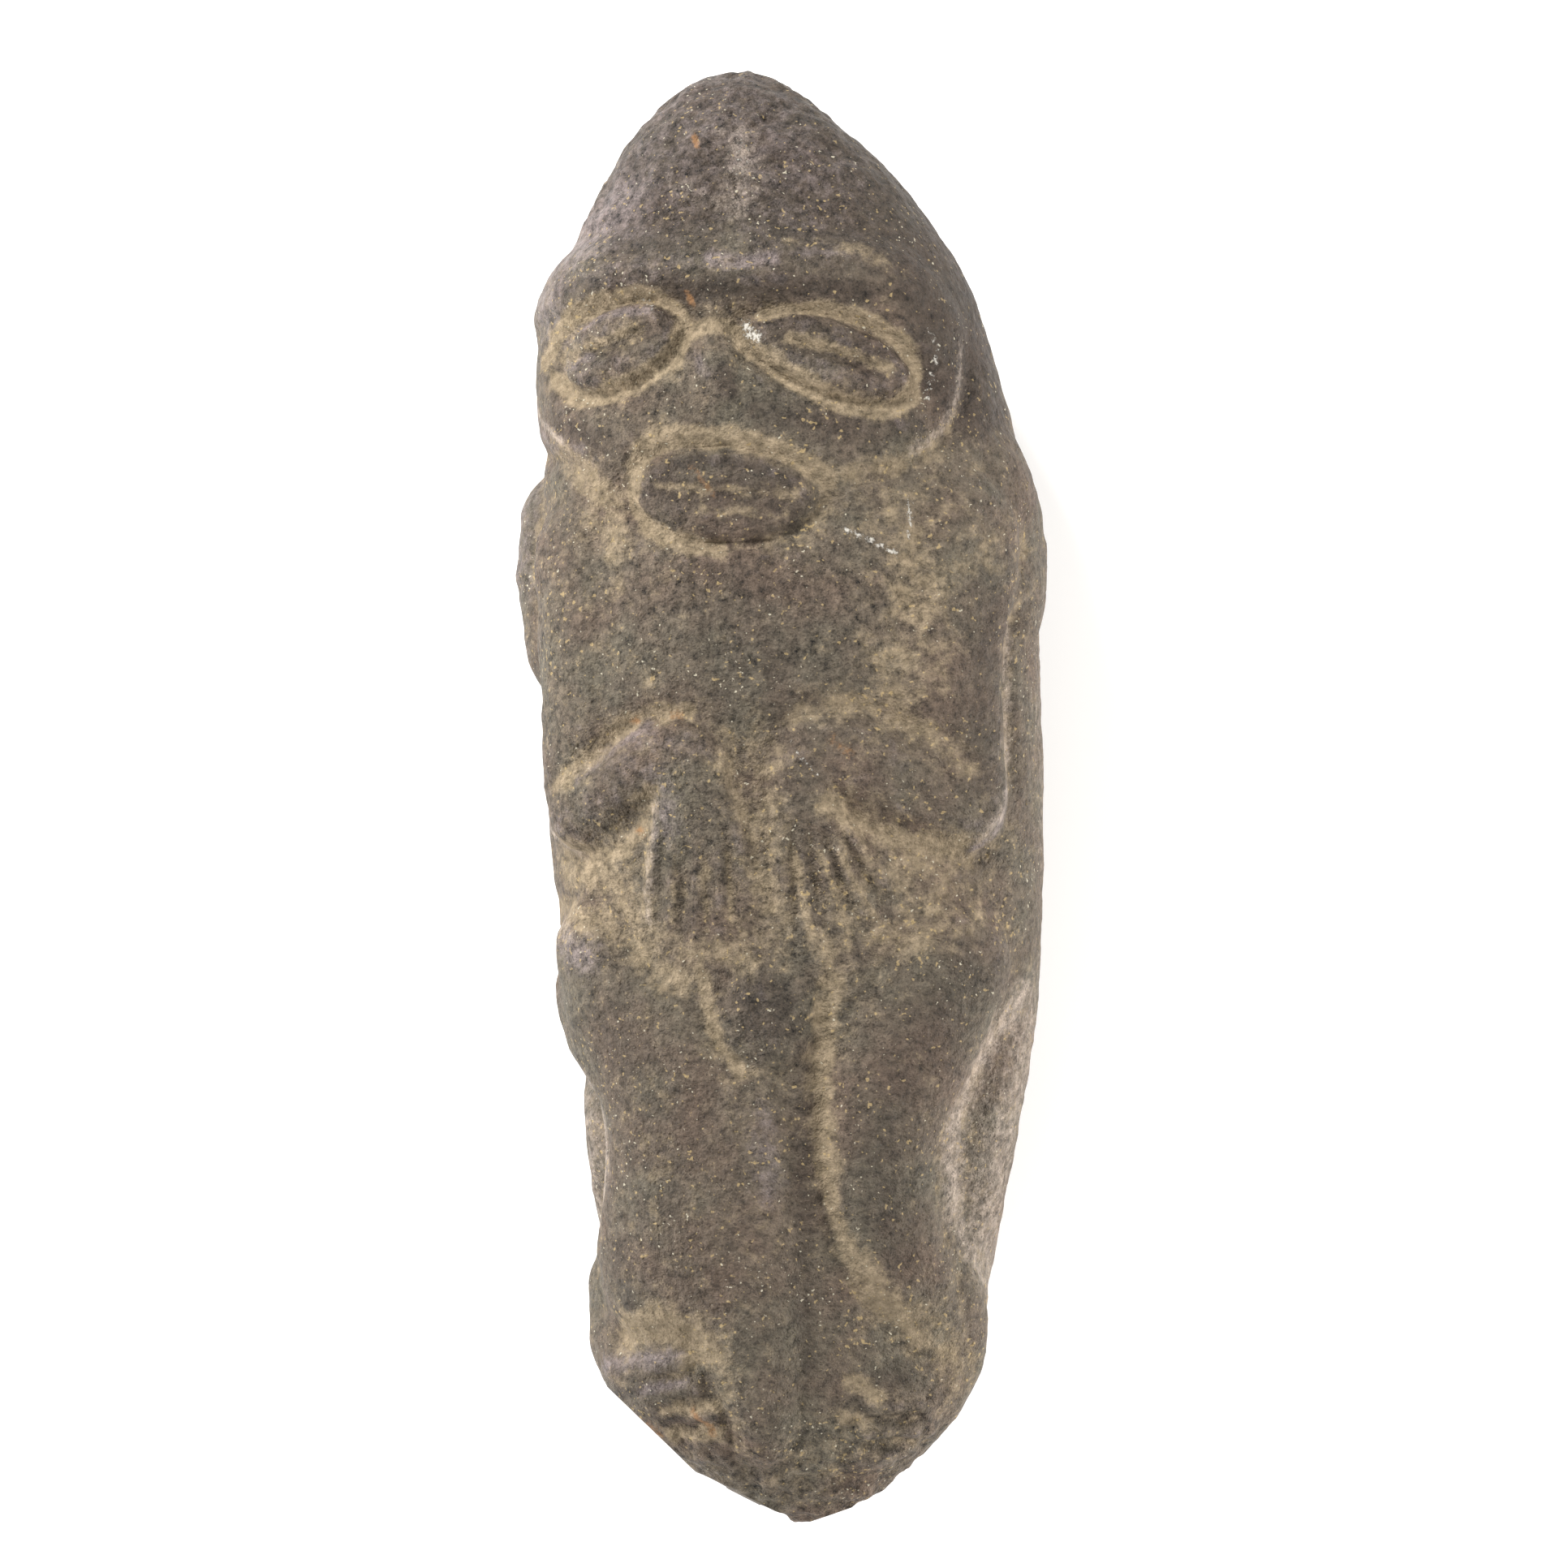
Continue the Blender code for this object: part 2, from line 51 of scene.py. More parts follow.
# the stone's blank, in drawn millimetres seen from above: x from the crown-to-bit line, y along it
blank = {
    "relief": 2.8,  # how far a full limb stands above the ground pecked round it
    "grooveDepth": 1.9,
    "grooveEnds": 0.3,  # share of its depth that a groove has at its ends
    "grooveTaper": 6,  # full depth from a sixth of its length inward
    "swellFalloff": 1.6,
    "sharpEdge": math.radians(70),
    "restFlat": 0.8,  # worn off the back, where the stone lies
    "rings": 380,
    "segments": 258,
    "crowding": 0.42,  # how much closer the points lie on the front than on the back
    "frontFullness": 2.5,  # 2 is an ellipse, more is boxier
    "backFullness": 2.2,
    "blend": 0.18,  # how softly raised forms run together
    "lastTurn": math.radians(150),  # the carving fades out on the back
    "fadeTurn": math.radians(50),
    # y, left side, right side, height of the front, depth of the back
    "stations": (
        (120.2, 0.0, 0.0, 0.0, 0.0),
        (112.0, -15.4, 16.0, 14.5, 14.0),
        (100.0, -23.6, 27.2, 21.5, 20.5),
        (84.0, -31.1, 37.0, 27.0, 26.0),
        (62.0, -33.4, 43.0, 30.0, 28.4),
        (32.0, -35.6, 45.9, 31.0, 30.4),
        (0.0, -36.1, 45.7, 30.5, 31.0),
        (-36.0, -33.8, 43.1, 29.0, 29.4),
        (-68.0, -31.9, 36.3, 26.5, 26.0),
        (-90.0, -30.0, 31.0, 21.5, 20.8),
        (-104.0, -23.6, 25.4, 15.5, 14.5),
        (-112.0, -16.4, 17.2, 10.0, 9.0),
        (-120.2, 0.0, 0.0, 0.0, 0.0),
    ),
}

# broad raised fields: outline, height, width of the rounded side
fields = {
    "face": (
        (
            (-42, 82), (-42, 66), (-37, 60), (-31, 57), (-24, 55), (-18, 48), (-12, 43), (-3, 41), (6, 43),
            (12, 47.5), (17, 50.5), (24, 52), (30, 56), (34, 62), (35.6, 69), (35, 78), (30, 86), (15, 89),
            (-2, 88), (-16, 90), (-30, 89),
        ),
        0.60, 3.2,
    ),
    "chest": (
        (
            (-27, 42), (-20, 46), (-4, 48), (12, 46), (26, 44), (30, 22), (29, 8), (20, 13), (10, 15),
            (1, 13), (-7, 14.5), (-16, 16), (-25, 12), (-28, 22),
        ),
        0.66, 5.0,
    ),
    "shins": (
        (
            (-37, -27), (-30, -20), (-22, -25), (-13.6, -32), (-9, -41), (0, -47), (2, -74), (1, -92),
            (-2, -108), (-10, -108), (-13, -96), (-17, -88), (-26, -86), (-30, -80), (-30.4, -68),
            (-28.6, -57), (-30.4, -47), (-36, -38),
        ),
        0.88, 3.0,
    ),
}

# raised limbs: line of the crest, radii and heights along it, squareness, stretch of its two sides
limbs = {
    "brow": (
        (
            (-40, 75), (-32, 80.8), (-25, 83.6), (-17, 84.8), (-9, 84.8), (0, 84.2), (9, 83.8), (18, 82.8),
            (26, 80), (32, 75),
        ),
        (4.5, 4.8, 4.8, 4.8, 4.8, 4.9, 4.8, 4.6, 4.4, 3.2),
        (0.6, 1.0, 1.1, 1.1, 1.08, 1.06, 1.0, 0.95, 0.8, 0.4),
        2.0, (0.85, 2.0),
    ),
    "nose": (((-4.2, 76.5), (-4.8, 71), (-4.6, 65.5)), (2.2, 4.8, 7.0), (0.45, 0.9, 0.94), 2.0),
    "left shoulder": (((-38, 46.5), (-40, 39), (-38, 30)), (9.0, 10.5, 10.0), (1.45, 1.72, 1.05), 3.0),
    "right shoulder": (((43, 49), (46, 40), (44.5, 31)), (10.0, 10.5, 8.0), (0.7, 1.0, 0.5), 2.2),
    "left upper arm": (
        ((-32, 38), (-31.5, 22), (-32, 8), (-31.2, -0.5)),
        (12.0, 10.8, 8.8, 6.6), (0.95, 0.9, 0.95, 1.0), 2.6,
    ),
    "right upper arm": (
        ((36, 40), (31.5, 22), (32, 8), (33.4, -3)), (12.0, 11.0, 9.0, 7.0), (0.9, 0.9, 0.95, 1.0), 3.0,
    ),
    "left forearm": (
        ((-31, -0.5), (-25.5, 3), (-18.5, 7.6), (-12, 7.5)), (5.6, 5.8, 6.0, 6.8), (1.0, 1.0, 1.05, 1.0), 2.4,
    ),
    "right forearm": (
        ((33, -3.6), (25.5, 0.2), (17, 5), (9, 7)), (6.4, 6.6, 6.8, 7.2), (1.0, 0.98, 1.0, 0.9), 2.4,
    ),
    "left palm": (((-11.4, 6), (-11.4, -3), (-11.6, -16)), (7.2, 8.0, 9.6), (1.0, 0.86, 0.20), 2.8),
    "right palm": (((6.4, 5), (6.4, -3), (9.0, -14)), (5.6, 6.4, 9.6), (0.9, 0.78, 0.16), 2.8),
    "left knee": (((-31, -24), (-29.5, -32)), (9.6, 10.5), (1.18, 1.1), 2.6),
    "left shin": (
        ((-28, -33), (-20.5, -44), (-18, -57), (-19.5, -70), (-21.5, -81)),
        (10.0, 12.5, 12.0, 12.0, 10.5), (1.05, 1.0, 0.98, 0.98, 0.88), 2.6,
    ),
    "right shin": (
        ((30, -28), (22.4, -41), (17.2, -51), (15.4, -60.5), (16.6, -71), (21, -82), (25, -89)),
        (10.4, 12.4, 10.6, 9.4, 9.2, 8.0, 6.0), (1.05, 1.05, 1.05, 1.02, 0.94, 0.76, 0.6), 3.0,
    ),
    "navel": (((-1.4, -34.6), (-1.4, -35.6)), (8.4, 8.4), (0.84, 0.84), 3.0),
    "left foot": (
        ((-33, -80), (-31.5, -89), (-24, -98), (-17, -104)), (6, 7.5, 8.5, 6), (0.7, 1.15, 0.7, 0.2), 2.2,
    ),
    "right foot": (
        ((29, -84), (28.5, -93), (20, -101), (14, -106)), (6, 7, 8, 6), (0.5, 0.85, 0.45, 0.2), 2.2,
    ),
}

# fingers and toes, with the thin cuts between neighbours
digits = {
    "left fingers": {
        "lines": (
            ((-16.8, -2), (-18.0, -8), (-19.4, -17)), ((-14.2, -3), (-15.2, -9), (-16.4, -20)),
            ((-11.2, -3), (-11.6, -9), (-12.4, -21.6)), ((-8.2, -3), (-8.0, -8), (-8.4, -21)),
            ((-5.4, -2), (-4.8, -7), (-4.2, -17.6)),
        ),
        "radii": (1.6, 2.0, 1.9), "heights": (0.54, 0.66, 0.30), "gap": (0.75, 0.18),
    },
    "right fingers": {
        "lines": (
            ((3.2, -2), (2.2, -8), (2.2, -18)), ((5.4, -3), (5.2, -9), (6.0, -20.6)),
            ((7.4, -3), (8.4, -9), (10.4, -21)), ((9.2, -2.8), (11.2, -8.4), (15.0, -19)),
            ((11, -2.2), (13.8, -7), (18.4, -14.6)),
        ),
        "radii": (1.6, 2.0, 1.9), "heights": (0.54, 0.66, 0.34), "gap": (0.75, 0.18),
    },
    "left toes": {
        "lines": (
            ((-28.4, -91.6), (-18.4, -90.4)), ((-23.0, -95.6), (-16.4, -94.8)),
            ((-20.0, -99.6), (-13.6, -99.2)), ((-17.6, -103.6), (-12.4, -103.4)),
        ),
        "radii": (2.3, 2.2), "heights": (0.54, 0.44), "gap": (1.0, 0.16),
    },
    "right toes": {
        "lines": (
            ((19.5, -98.8), (12.6, -99.4)), ((18.4, -103.0), (11.4, -103.6)),
            ((16.4, -106.8), (10.4, -107.4)),
        ),
        "radii": (2.2, 2.1), "heights": (0.74, 0.52), "gap": (1.0, 0.22),
    },
}

# beans ringed by a groove: middle, half sizes, lean, height, depth of the ring, depth of the slit
beans = {
    "left eye": ((-20.4, 74.2), (11.2, 5.7), 19, 0.42, 1.0, 0.80),
    "right eye": ((13.6, 70.9), (12.8, 5.7), -21, 0.42, 1.0, 0.80),
    "mouth": ((-4.8, 49.4), (14.6, 6.9), -6, 0.14, 0.85, 0.42),
}
beanShape = {
    "inside": 1.1,  # width of the ring's two sides
    "outside": 2.2,
    "fullness": 2.6,
    "slit": 1.15,  # width of the slit, which runs so far either way along the half length
    "slitFrom": -0.66,
    "slitTo": 0.7,
}

# pecked grooves: line, width, depth
grooves = {
    "hollow over the brow": (((-24, 90.6), (-8, 91.2), (10, 90.4), (22, 87.8)), 2.4, 0.20),
    "right cheek": (((36.8, 71), (36.2, 64), (32.4, 57), (25, 52), (15, 49.6)), 1.7, 0.40),
    "left cheek": (((-36, 60), (-30, 56), (-24, 53.6)), 2.0, 0.45),
    "left side of the chest": (((-25.6, 49), (-20.5, 33)), 2.6, 0.28),
    "right side of the chest": (((23.8, 36), (20.8, 17)), 3.0, 0.26),
    "over the left forearm": (
        ((-32, 4), (-26, 9.8), (-18, 14.2), (-10.5, 13.6), (-5.6, 7), (-4, -2)), 1.8, 0.62,
    ),
    "under the left elbow": (((-35, -6.4), (-29, -7.2), (-23.4, -4.2), (-19.4, 0.6)), 2.0, 0.50),
    "over the right forearm": (((33.4, 3.6), (28, 9), (20, 12.8), (12, 14.8), (6, 13.4)), 1.9, 0.46),
    "under the right elbow": (((38.5, -4), (33, -11), (25, -10), (16, -5.6), (9.8, -0.6)), 2.1, 0.50),
    "outside the right arm": (((44.5, 31), (40.2, 25), (39.8, 10), (40.4, -3)), 1.8, 0.50),
    "left thigh": (((-36, -15), (-27, -18.8), (-20.5, -26), (-15.5, -33)), 2.2, 0.40),
    "right thigh": (((38, -20), (28, -23.5), (18, -30)), 2.6, 0.22),
    "inside the right leg": (
        (
            (13, -26), (7.6, -33), (6.6, -42), (6.6, -52), (6.8, -62), (7.8, -70), (10.4, -78), (15, -85),
            (20, -91),
        ),
        2.2, 0.55,
    ),
    "middle ridge": (((0.4, -54), (0.2, -74), (0.4, -92), (-0.4, -104)), 1.8, 0.16),
    "left flank": (
        ((-37.4, -37), (-33.8, -42), (-32.2, -48), (-31.6, -56), (-31.9, -63), (-33.8, -69)), 3.8, 1.6,
    ),
    "right flank": (
        ((42.4, -34), (37, -41), (33, -48), (30.8, -56), (30.4, -63), (31.4, -72), (34, -82)), 5.6, 1.1,
    ),
    "over the left foot": (((-29.5, -87.2), (-22.5, -85.8), (-14, -87.6)), 2.8, 0.85),
    "over the right foot": (((16, -84), (21, -89), (26, -93)), 3.2, 0.40),
}

# swellings and hollows: middle, half sizes, lean, height
swellings = {
    "pit in the crown": ((7.2, 111), (4.6, 3.6), 30, -0.36),
    "dent in the crown": ((12, 97), (6.0, 4.5), 0, -0.12),
    "bruise on the crown": ((-8, 106), (3.0, 2.5), 0, -0.12),
    "top of the nose": ((-4.5, 78.4), (7.5, 3.0), 0, -0.28),
    "left of the hands": ((-26.5, -13), (6.5, 5.5), 0, -0.22),
    "navel ring": ((-1.4, -35.1), (14.0, 14.0), 0, -0.16),
}

# flakes struck off the bit: a point of the flake's face and the way it looks
flakes = (
    ((-24.1, -103.3, 0.0), (-0.72, -0.68, 0.10)),
    ((-12.0, -113.5, 0.0), (-0.50, -0.866, 0.14)),
    ((4.6, -118.7, 0.0), (0.28, -0.96, 0.10)),
    ((13.6, -114.7, 0.0), (0.52, -0.85, 0.0)),
    ((21.7, -108.7, 0.0), (0.68, -0.73, 0.12)),
    ((29.0, -100.2, 0.0), (0.84, -0.50, 0.15)),
)

# small hollow scars struck through the bit's edge: middle and radius of each
scars = (
    ((-5.0, -119.0, 0.0), 3.1),
    ((10.6, -120.2, 0.0), 4.2),
    ((-15.8, -115.0, 0.0), 4.0),
    ((-22.6, -110.4, 0.0), 3.4),
    ((18.4, -115.2, 0.0), 4.0),
    ((26.4, -107.0, 0.0), 2.4),
)
scarStretch = 0.4  # how far a scar runs across the bit against through it

# unevenness left by pecking and weather: grain size in mm, depth in mm, extra depth on bruised ground
pecking = {
    "swell of the ground": (17.0, 0.30, 0.10),
    "dimples": (6.0, 0.20, 0.40),
    "peck marks": (2.6, 0.17, 0.50),
    "grit": (1.35, 0.11, 0.26),
}

# what lies on the stone, and painted light and shade: strokes of (line, width, strength) for each layer
paint = {
    "crust": {
        "left eye, over": (
            ((-31, 72.6), (-29.2, 77.4), (-25.4, 80.4), (-20, 81.8), (-14, 81.8), (-10, 79.4), (-9, 75.8)),
            1.2, 1.3,
        ),
        "left eye, under": (
            ((-30, 70), (-27.8, 67.3), (-23.4, 66.4), (-17, 68.6), (-11.5, 72.4), (-9.2, 76.6)), 1.5, 1.5,
        ),
        "left eye slit": (((-28, 72.6), (-22, 75), (-17, 76.6)), 0.9, 0.80),
        "over the nose": (((-8.5, 77), (-5, 76.6), (-2, 75.8), (0.5, 73.8)), 2.0, 0.95),
        "right eye, over": (
            ((3, 78), (9, 78.8), (15.7, 77.8), (21, 75.6), (25.2, 72.2), (27.2, 68.6), (26.8, 65.4)),
            1.25, 1.2,
        ),
        "right eye, under": (
            ((-1, 75.2), (3.4, 70.8), (7.6, 67.4), (12.6, 64.0), (18.2, 62), (23, 62), (26.8, 64.8)),
            1.6, 1.5,
        ),
        "right eye slit": (((7.5, 73.6), (12, 72.4), (17, 70.6), (22.4, 68.2)), 1.2, 0.85),
        "mouth, over": (
            ((-19.2, 50.6), (-18, 56), (-12, 58.8), (-4, 58.4), (3, 56.6), (8.4, 54), (12.6, 51.2)), 1.6, 1.5,
        ),
        "mouth, under": (((-19.4, 50), (-19, 47.6), (-16.2, 44.4), (-10.9, 42), (-5.5, 40.8)), 1.3, 1.4),
        "mouth, right": (((12.4, 50), (12, 46), (8, 42.4)), 2.0, 0.5),
        "mouth slit": (((-15, 51.4), (-8, 50.6), (-2, 49.8), (7, 48.4)), 1.0, 0.62),
        "mouth, second line": (((-9, 47.2), (-2, 46.4), (5, 45.8)), 0.9, 0.5),
        "right cheek": (((35.5, 71), (34.6, 63), (31, 57.4), (25, 53.6), (15, 51.6)), 1.6, 0.55),
        "right eye to cheek": (((12, 51.4), (18, 51.4)), 1.8, 0.6),
        "left neck": (((-30, 58), (-26, 53), (-23, 47), (-22, 43)), 3.6, 0.62),
        "neck streaks": (((-24, 46), (-21.5, 36)), 1.5, 0.5),
        "over the left forearm": (((-31.5, 4), (-28, 8), (-23, 12.4), (-18, 15), (-12, 15)), 1.7, 0.9),
        "inside the left wrist": (((-6.4, 9), (-4.8, 3), (-3, -5), (-1.6, -16)), 2.0, 0.50),
        "under the left elbow": (((-32.5, -5), (-28, -7.4), (-23, -6), (-19.4, -2), (-18.4, 2)), 2.0, 0.80),
        "left of the hand": (((-33, -9), (-27, -11), (-23, -16), (-20, -22)), 5.0, 0.60),
        "edge of the left hand": (((-18.2, 2), (-19, -6), (-20.4, -19)), 1.2, 0.6),
        "between the left fingers": (((-14.6, -7), (-15.8, -19)), 0.7, 0.55),
        "between the left fingers, middle": (((-10.0, -8), (-10.4, -21)), 0.7, 0.50),
        "between the left fingers, right": (((-6.6, -8), (-6.4, -19)), 0.7, 0.50),
        "between the right fingers, right": (((8.2, -9), (10.4, -16), (12.4, -22)), 0.7, 0.62),
        "under the right forearm": (((30, -9.4), (22, -7.2), (15, -4.4), (10, -0.6)), 2.3, 0.85),
        "beside the right hand": (((14, -5), (20, -11), (27, -16)), 6.0, 0.40),
        "over the right forearm": (((32, 3.4), (28, 8), (22, 12), (14, 15), (6, 14.4)), 2.4, 0.55),
        "between the hands": (((-1, 12), (0, 2), (0, -10), (0, -22)), 2.8, 0.45),
        "finger tips, left": (((-20, -22.6), (-11, -23), (-4, -26)), 3.2, 0.50),
        "between the right fingers": (((3.8, -8), (5.0, -15), (6.2, -22)), 1.0, 0.75),
        "beside the last finger": (((11.4, -9), (14, -15), (16.8, -20)), 0.8, 0.65),
        "left thigh": (((-36, -15), (-28, -18), (-21, -23), (-16, -28)), 3.0, 0.58),
        "left of the navel": (((-12, -26), (-10.6, -34), (-9.0, -39), (-6.4, -43)), 1.3, 0.85),
        "right of the navel": (((8.6, -25), (8.8, -34)), 2.0, 0.75),
        "inside the right leg": (((8, -33), (6.8, -42), (6.6, -50), (6.6, -60)), 2.2, 0.88),
        "inside the right shin": (((6.8, -60), (8, -68), (11, -76)), 1.4, 0.95),
        "inside the right shin, lower": (((11.6, -76), (15.4, -82), (20.4, -87.6)), 2.8, 0.90),
        "over the left foot": (((-27, -86), (-24, -83.8), (-19, -84.4), (-14, -88)), 3.4, 1.1),
        "over the right foot": (((20, -86), (24, -90), (26, -95)), 4.0, 0.45),
        "left toe gaps": (((-21, -98.4), (-13, -97.8)), 1.3, 0.7),
        "left toe gaps, lower": (((-20, -102.8), (-12.6, -102.4)), 1.4, 0.75),
        "right toe gaps": (((9, -95), (13, -97.6)), 1.6, 0.7),
        "right toe gaps, lower": (((8, -101), (12, -102.4)), 1.8, 0.6),
        "inside the left foot": (((-11.6, -90), (-10.8, -98), (-9.6, -104)), 2.2, 0.36),
        "breast, right": (((24, 44), (25, 30), (22, 18)), 7.0, 0.42),
        "right shoulder": (((30, 34), (36, 38)), 5.0, 0.30),
        "belly": (((12, -20), (22, -23), (31, -18)), 6.0, 0.40),
        "left calf": (((-22, -44), (-19, -58), (-21, -74)), 5.0, 0.22),
        "forehead, right": (((6, 89.6), (16, 88.4), (26, 83.4)), 1.8, 0.50),
        "right temple": (((31, 76), (33, 69)), 3.0, 0.25),
        "by the tip": (((-3, -111), (4, -108)), 4.0, 0.25),
    },
    # darker stone and stains, and painted shade where marked below
    "dark": {
        # painted shade on the underside of the brow, where it overhangs the eyes
        "under the brow, left": (((-28, 83.6), (-20, 84.8), (-9, 84.4)), 1.7, 0.75),
        "under the brow": (((-9, 82.2), (0, 82.4), (10, 82), (20, 80.4)), 2.2, 0.95),
        "left eye": (((-26, 71), (-14, 76)), 4.0, 0.45),
        "right eye": (((6, 75), (22, 69)), 5.0, 0.75),
        "stain on the nose": (((-3.2, 68.6), (-2.6, 65.8)), 2.0, 0.9),
        "beside the nose": (((3, 66.6), (6, 64)), 3.0, 0.45),
        "mouth": (((-14, 50.5), (5, 48.5)), 6.0, 0.68),
        # painted shadow along the upper inside edge of the mouth, under its rim
        "mouth, upper inside": (((-15, 53.4), (-8, 55), (0, 53.6), (7, 50.8)), 1.3, 0.9),
        "chin": (((2, 62), (14, 59.6), (26, 60)), 3.6, 0.7),
        "chest": (((-4, 34), (0, 22)), 12.0, 0.45),
        "left forearm": (((-29, -1), (-22, 3)), 4.0, 0.35),
        "left fingers": (((-12, -6), (-12, -18)), 6.0, 0.3),
        "right palm": (((6, 4), (7, -8), (9, -16)), 4.0, 0.3),
        "navel": (((-1.6, -33.4), (-1.6, -34)), 6.6, 1.0),
        "between the legs": (((3, -46), (2.8, -60), (2.4, -76), (2, -92)), 2.4, 0.55),
        "right knee": (((30, -30), (24, -38)), 8.0, 0.55),
        "right upper arm": (((36, 30), (34, 14), (34, 2)), 5.0, 0.55),
        "left cheek": (((-30, 63), (-24, 60)), 3.0, 0.7),
        "corner of the left eye": (((-13, 79.6), (-11.4, 77)), 1.6, 0.8),
        "right shin": (((20, -44), (16, -54), (15, -64), (17, -74)), 6.0, 0.55),
        "left shin": (((-26, -36), (-19, -52), (-20, -72)), 8.0, 0.40),
        "left calf": (((-26, -72), (-25, -80)), 3.0, 0.6),
        "left toes": (((-28, -95.6), (-20, -94.0)), 1.2, 0.8),
        "left toes, lower": (((-25, -100), (-18, -99)), 1.6, 0.7),
        "right toes": (((14, -95), (18, -94)), 2.6, 0.6),
        "right toes, lower": (((12, -101.4), (20, -101)), 1.2, 0.5),
        "pit in the crown": (((7.2, 111), (8.5, 108)), 3.6, 0.9),
        "crown": (((-14, 102), (-2, 112), (12, 100)), 16.0, 1.35),
        # painted shade on the crown's right side, turned away from the key lamp
        "right of the crown": (((22, 102), (33, 84), (37, 70)), 10.0, 3.0),
        "middle of the crown": (((4, 104), (8, 98)), 9.0, 2.4),
    },
    # lavender-grey layer: painted highlight where the key lamp's sheen falls on slopes facing the upper left,
    # with some worn polish
    "lilacWearAndHighlight": {
        "crown": (((-14, 104), (-2, 112), (8, 102)), 15.0, 0.38),
        "left temple": (((-30, 84), (-27, 91), (-19, 99)), 8.0, 0.75),
        "brow crest": (((-27, 85), (-18, 86.4), (-8, 86.4)), 1.6, 0.42),
        "middle of the brow": (((-4.5, 86.8), (0, 86), (5, 86.6)), 1.5, 0.95),
        "ridge over the right eye": (((6, 87), (14, 87.2), (20, 86)), 0.8, 0.42),
        "left eye lid": (((-28.4, 75.8), (-23, 78.8), (-15, 79.8)), 1.1, 0.9),
        "left eye, lower lid": (((-29, 71.6), (-24, 73)), 1.3, 0.7),
        "nose": (((-7.4, 71.5), (-6.4, 69)), 1.4, 0.55),
        "left jaw": (((-34, 66), (-32, 60), (-26, 57.4)), 2.0, 0.5),
        "left shoulder": (((-36, 50), (-36, 40)), 7.0, 0.5),
        "left forearm": (((-29, 5.6), (-24, 10), (-18, 12.4)), 1.5, 0.8),
        "left hand": (((-17.4, -1), (-18, -9)), 0.9, 0.5),
        "left knee": (((-32, -20), (-29, -24)), 3.4, 0.7),
        "left foot": (((-29, -90.8), (-23, -89.8), (-18, -88.6)), 1.6, 0.72),
        "left toes": (((-24, -94.8), (-18, -93.6)), 1.1, 0.65),
        "right elbow": (((38, 0), (36.6, -6), (33, -9)), 1.4, 0.7),
        "between the shins": (((-3, -50), (-2.4, -64)), 2.6, 0.5),
        "beside the left hand": (((-17, 4), (-15, -4)), 3.0, 0.5),
    },
    # light layer: painted highlight where the side lamps light the flanks, rims and edges, and a real scuff
    # on the crown
    "paleScuffAndHighlight": {
        "left flank": (
            ((-34, -39), (-31.2, -45), (-30.2, -52), (-30, -59), (-30.8, -65), (-32.8, -70)), 2.6, 0.66,
        ),
        "left flank, outside": (
            ((-35.6, -41), (-33.2, -47), (-32.4, -54), (-32.4, -61), (-33.6, -67)), 4.4, 0.42,
        ),
        "right flank": (((41, -34), (36, -41), (31.6, -48), (29, -54), (28.2, -61), (28.8, -68)), 3.6, 0.60),
        "right flank, lower": (((29.4, -70), (31.4, -78), (33.4, -86)), 2.8, 0.50),
        "right flank, outside": (((42, -38), (39, -50), (36, -60), (34, -72), (34.4, -84)), 9.0, 0.46),
        "right side": (((46, 30), (45.6, 8), (45, -14)), 8.0, 0.30),
        "rim of the right elbow": (((39, 12), (39.2, 3), (37, -3), (33.6, -7)), 1.0, 0.62),
        "rim of the left elbow": (((-35.8, -2), (-33.8, -5), (-31, -7.4)), 0.8, 0.55),
        "left shoulder": (((-37.6, 27), (-36.4, 18), (-36.6, 8)), 0.9, 0.45),
        "hem of the right side": (((46.6, 36), (45.4, 10), (45, -18), (43, -36)), 4.0, 0.28),
        "scuff on the crown": (((0.5, 108), (1.4, 103), (0, 97)), 3.6, 0.42),
        "side of the crown": (((-10, 101), (-2, 96)), 2.0, 0.3),
        "left knee": (((-33.5, -18), (-31, -20)), 1.5, 0.45),
        "edge of the left hand": (((-17.6, 1), (-18.6, -6), (-19.6, -13), (-19.8, -19)), 0.9, 0.42),
        "right cheek": (((34.8, 72), (34.2, 65), (31, 58.6), (26, 55)), 1.0, 0.5),
        "left cheek": (((-33.2, 68), (-32.2, 63.6), (-29.6, 60)), 0.9, 0.6),
        "outside the right arm": (((40.4, 26), (40, 14), (39.6, 4)), 1.2, 0.5),
    },
    "chalk": {
        "chip over the nose": (((0.4, 76.6), (0.8, 75.4), (2.0, 74)), 1.3, 0.62),
        "scratch, left": (((14.6, 42.8), (18, 41.2), (22.6, 38.4)), 0.40, 0.76),
        "scratch, right": (((24.2, 40.5), (25.0, 43.5), (25.4, 47.5)), 0.40, 0.66),
        "flecks by the right eye": (((29.2, 75), (30.2, 70), (28.9, 63.3)), 0.5, 0.55),
        "flecks on the left lid": (((-16, 82), (-14, 79.6)), 0.6, 0.40),
        "scuff on the crown": (((0.6, 106.4), (1.4, 103), (0.6, 101)), 1.6, 0.30),
        "scratch on the wrist": (((4.6, 9), (6.2, 6.4), (8.6, 3.6)), 0.40, 0.45),
    },
    "ochre": {
        "mark by the brow": (((-8.4, 81.8), (-8.0, 80.4)), 0.7, 0.75),
        "spot on the crown": (((-6.4, 108.2), (-6.2, 107)), 0.7, 0.8),
        "over the left forearm": (((-21.4, 13.6), (-20.4, 14)), 0.9, 0.62),
        "by the left wrist": (((-14.6, 14.6), (-13.2, 14.4)), 0.9, 0.62),
        "under the left elbow": (((-21.2, -3.6), (-20.4, -4.2)), 0.9, 0.6),
        "edge of the left foot": (((-29, -95), (-26, -98.6), (-22, -102)), 1.6, 0.55),
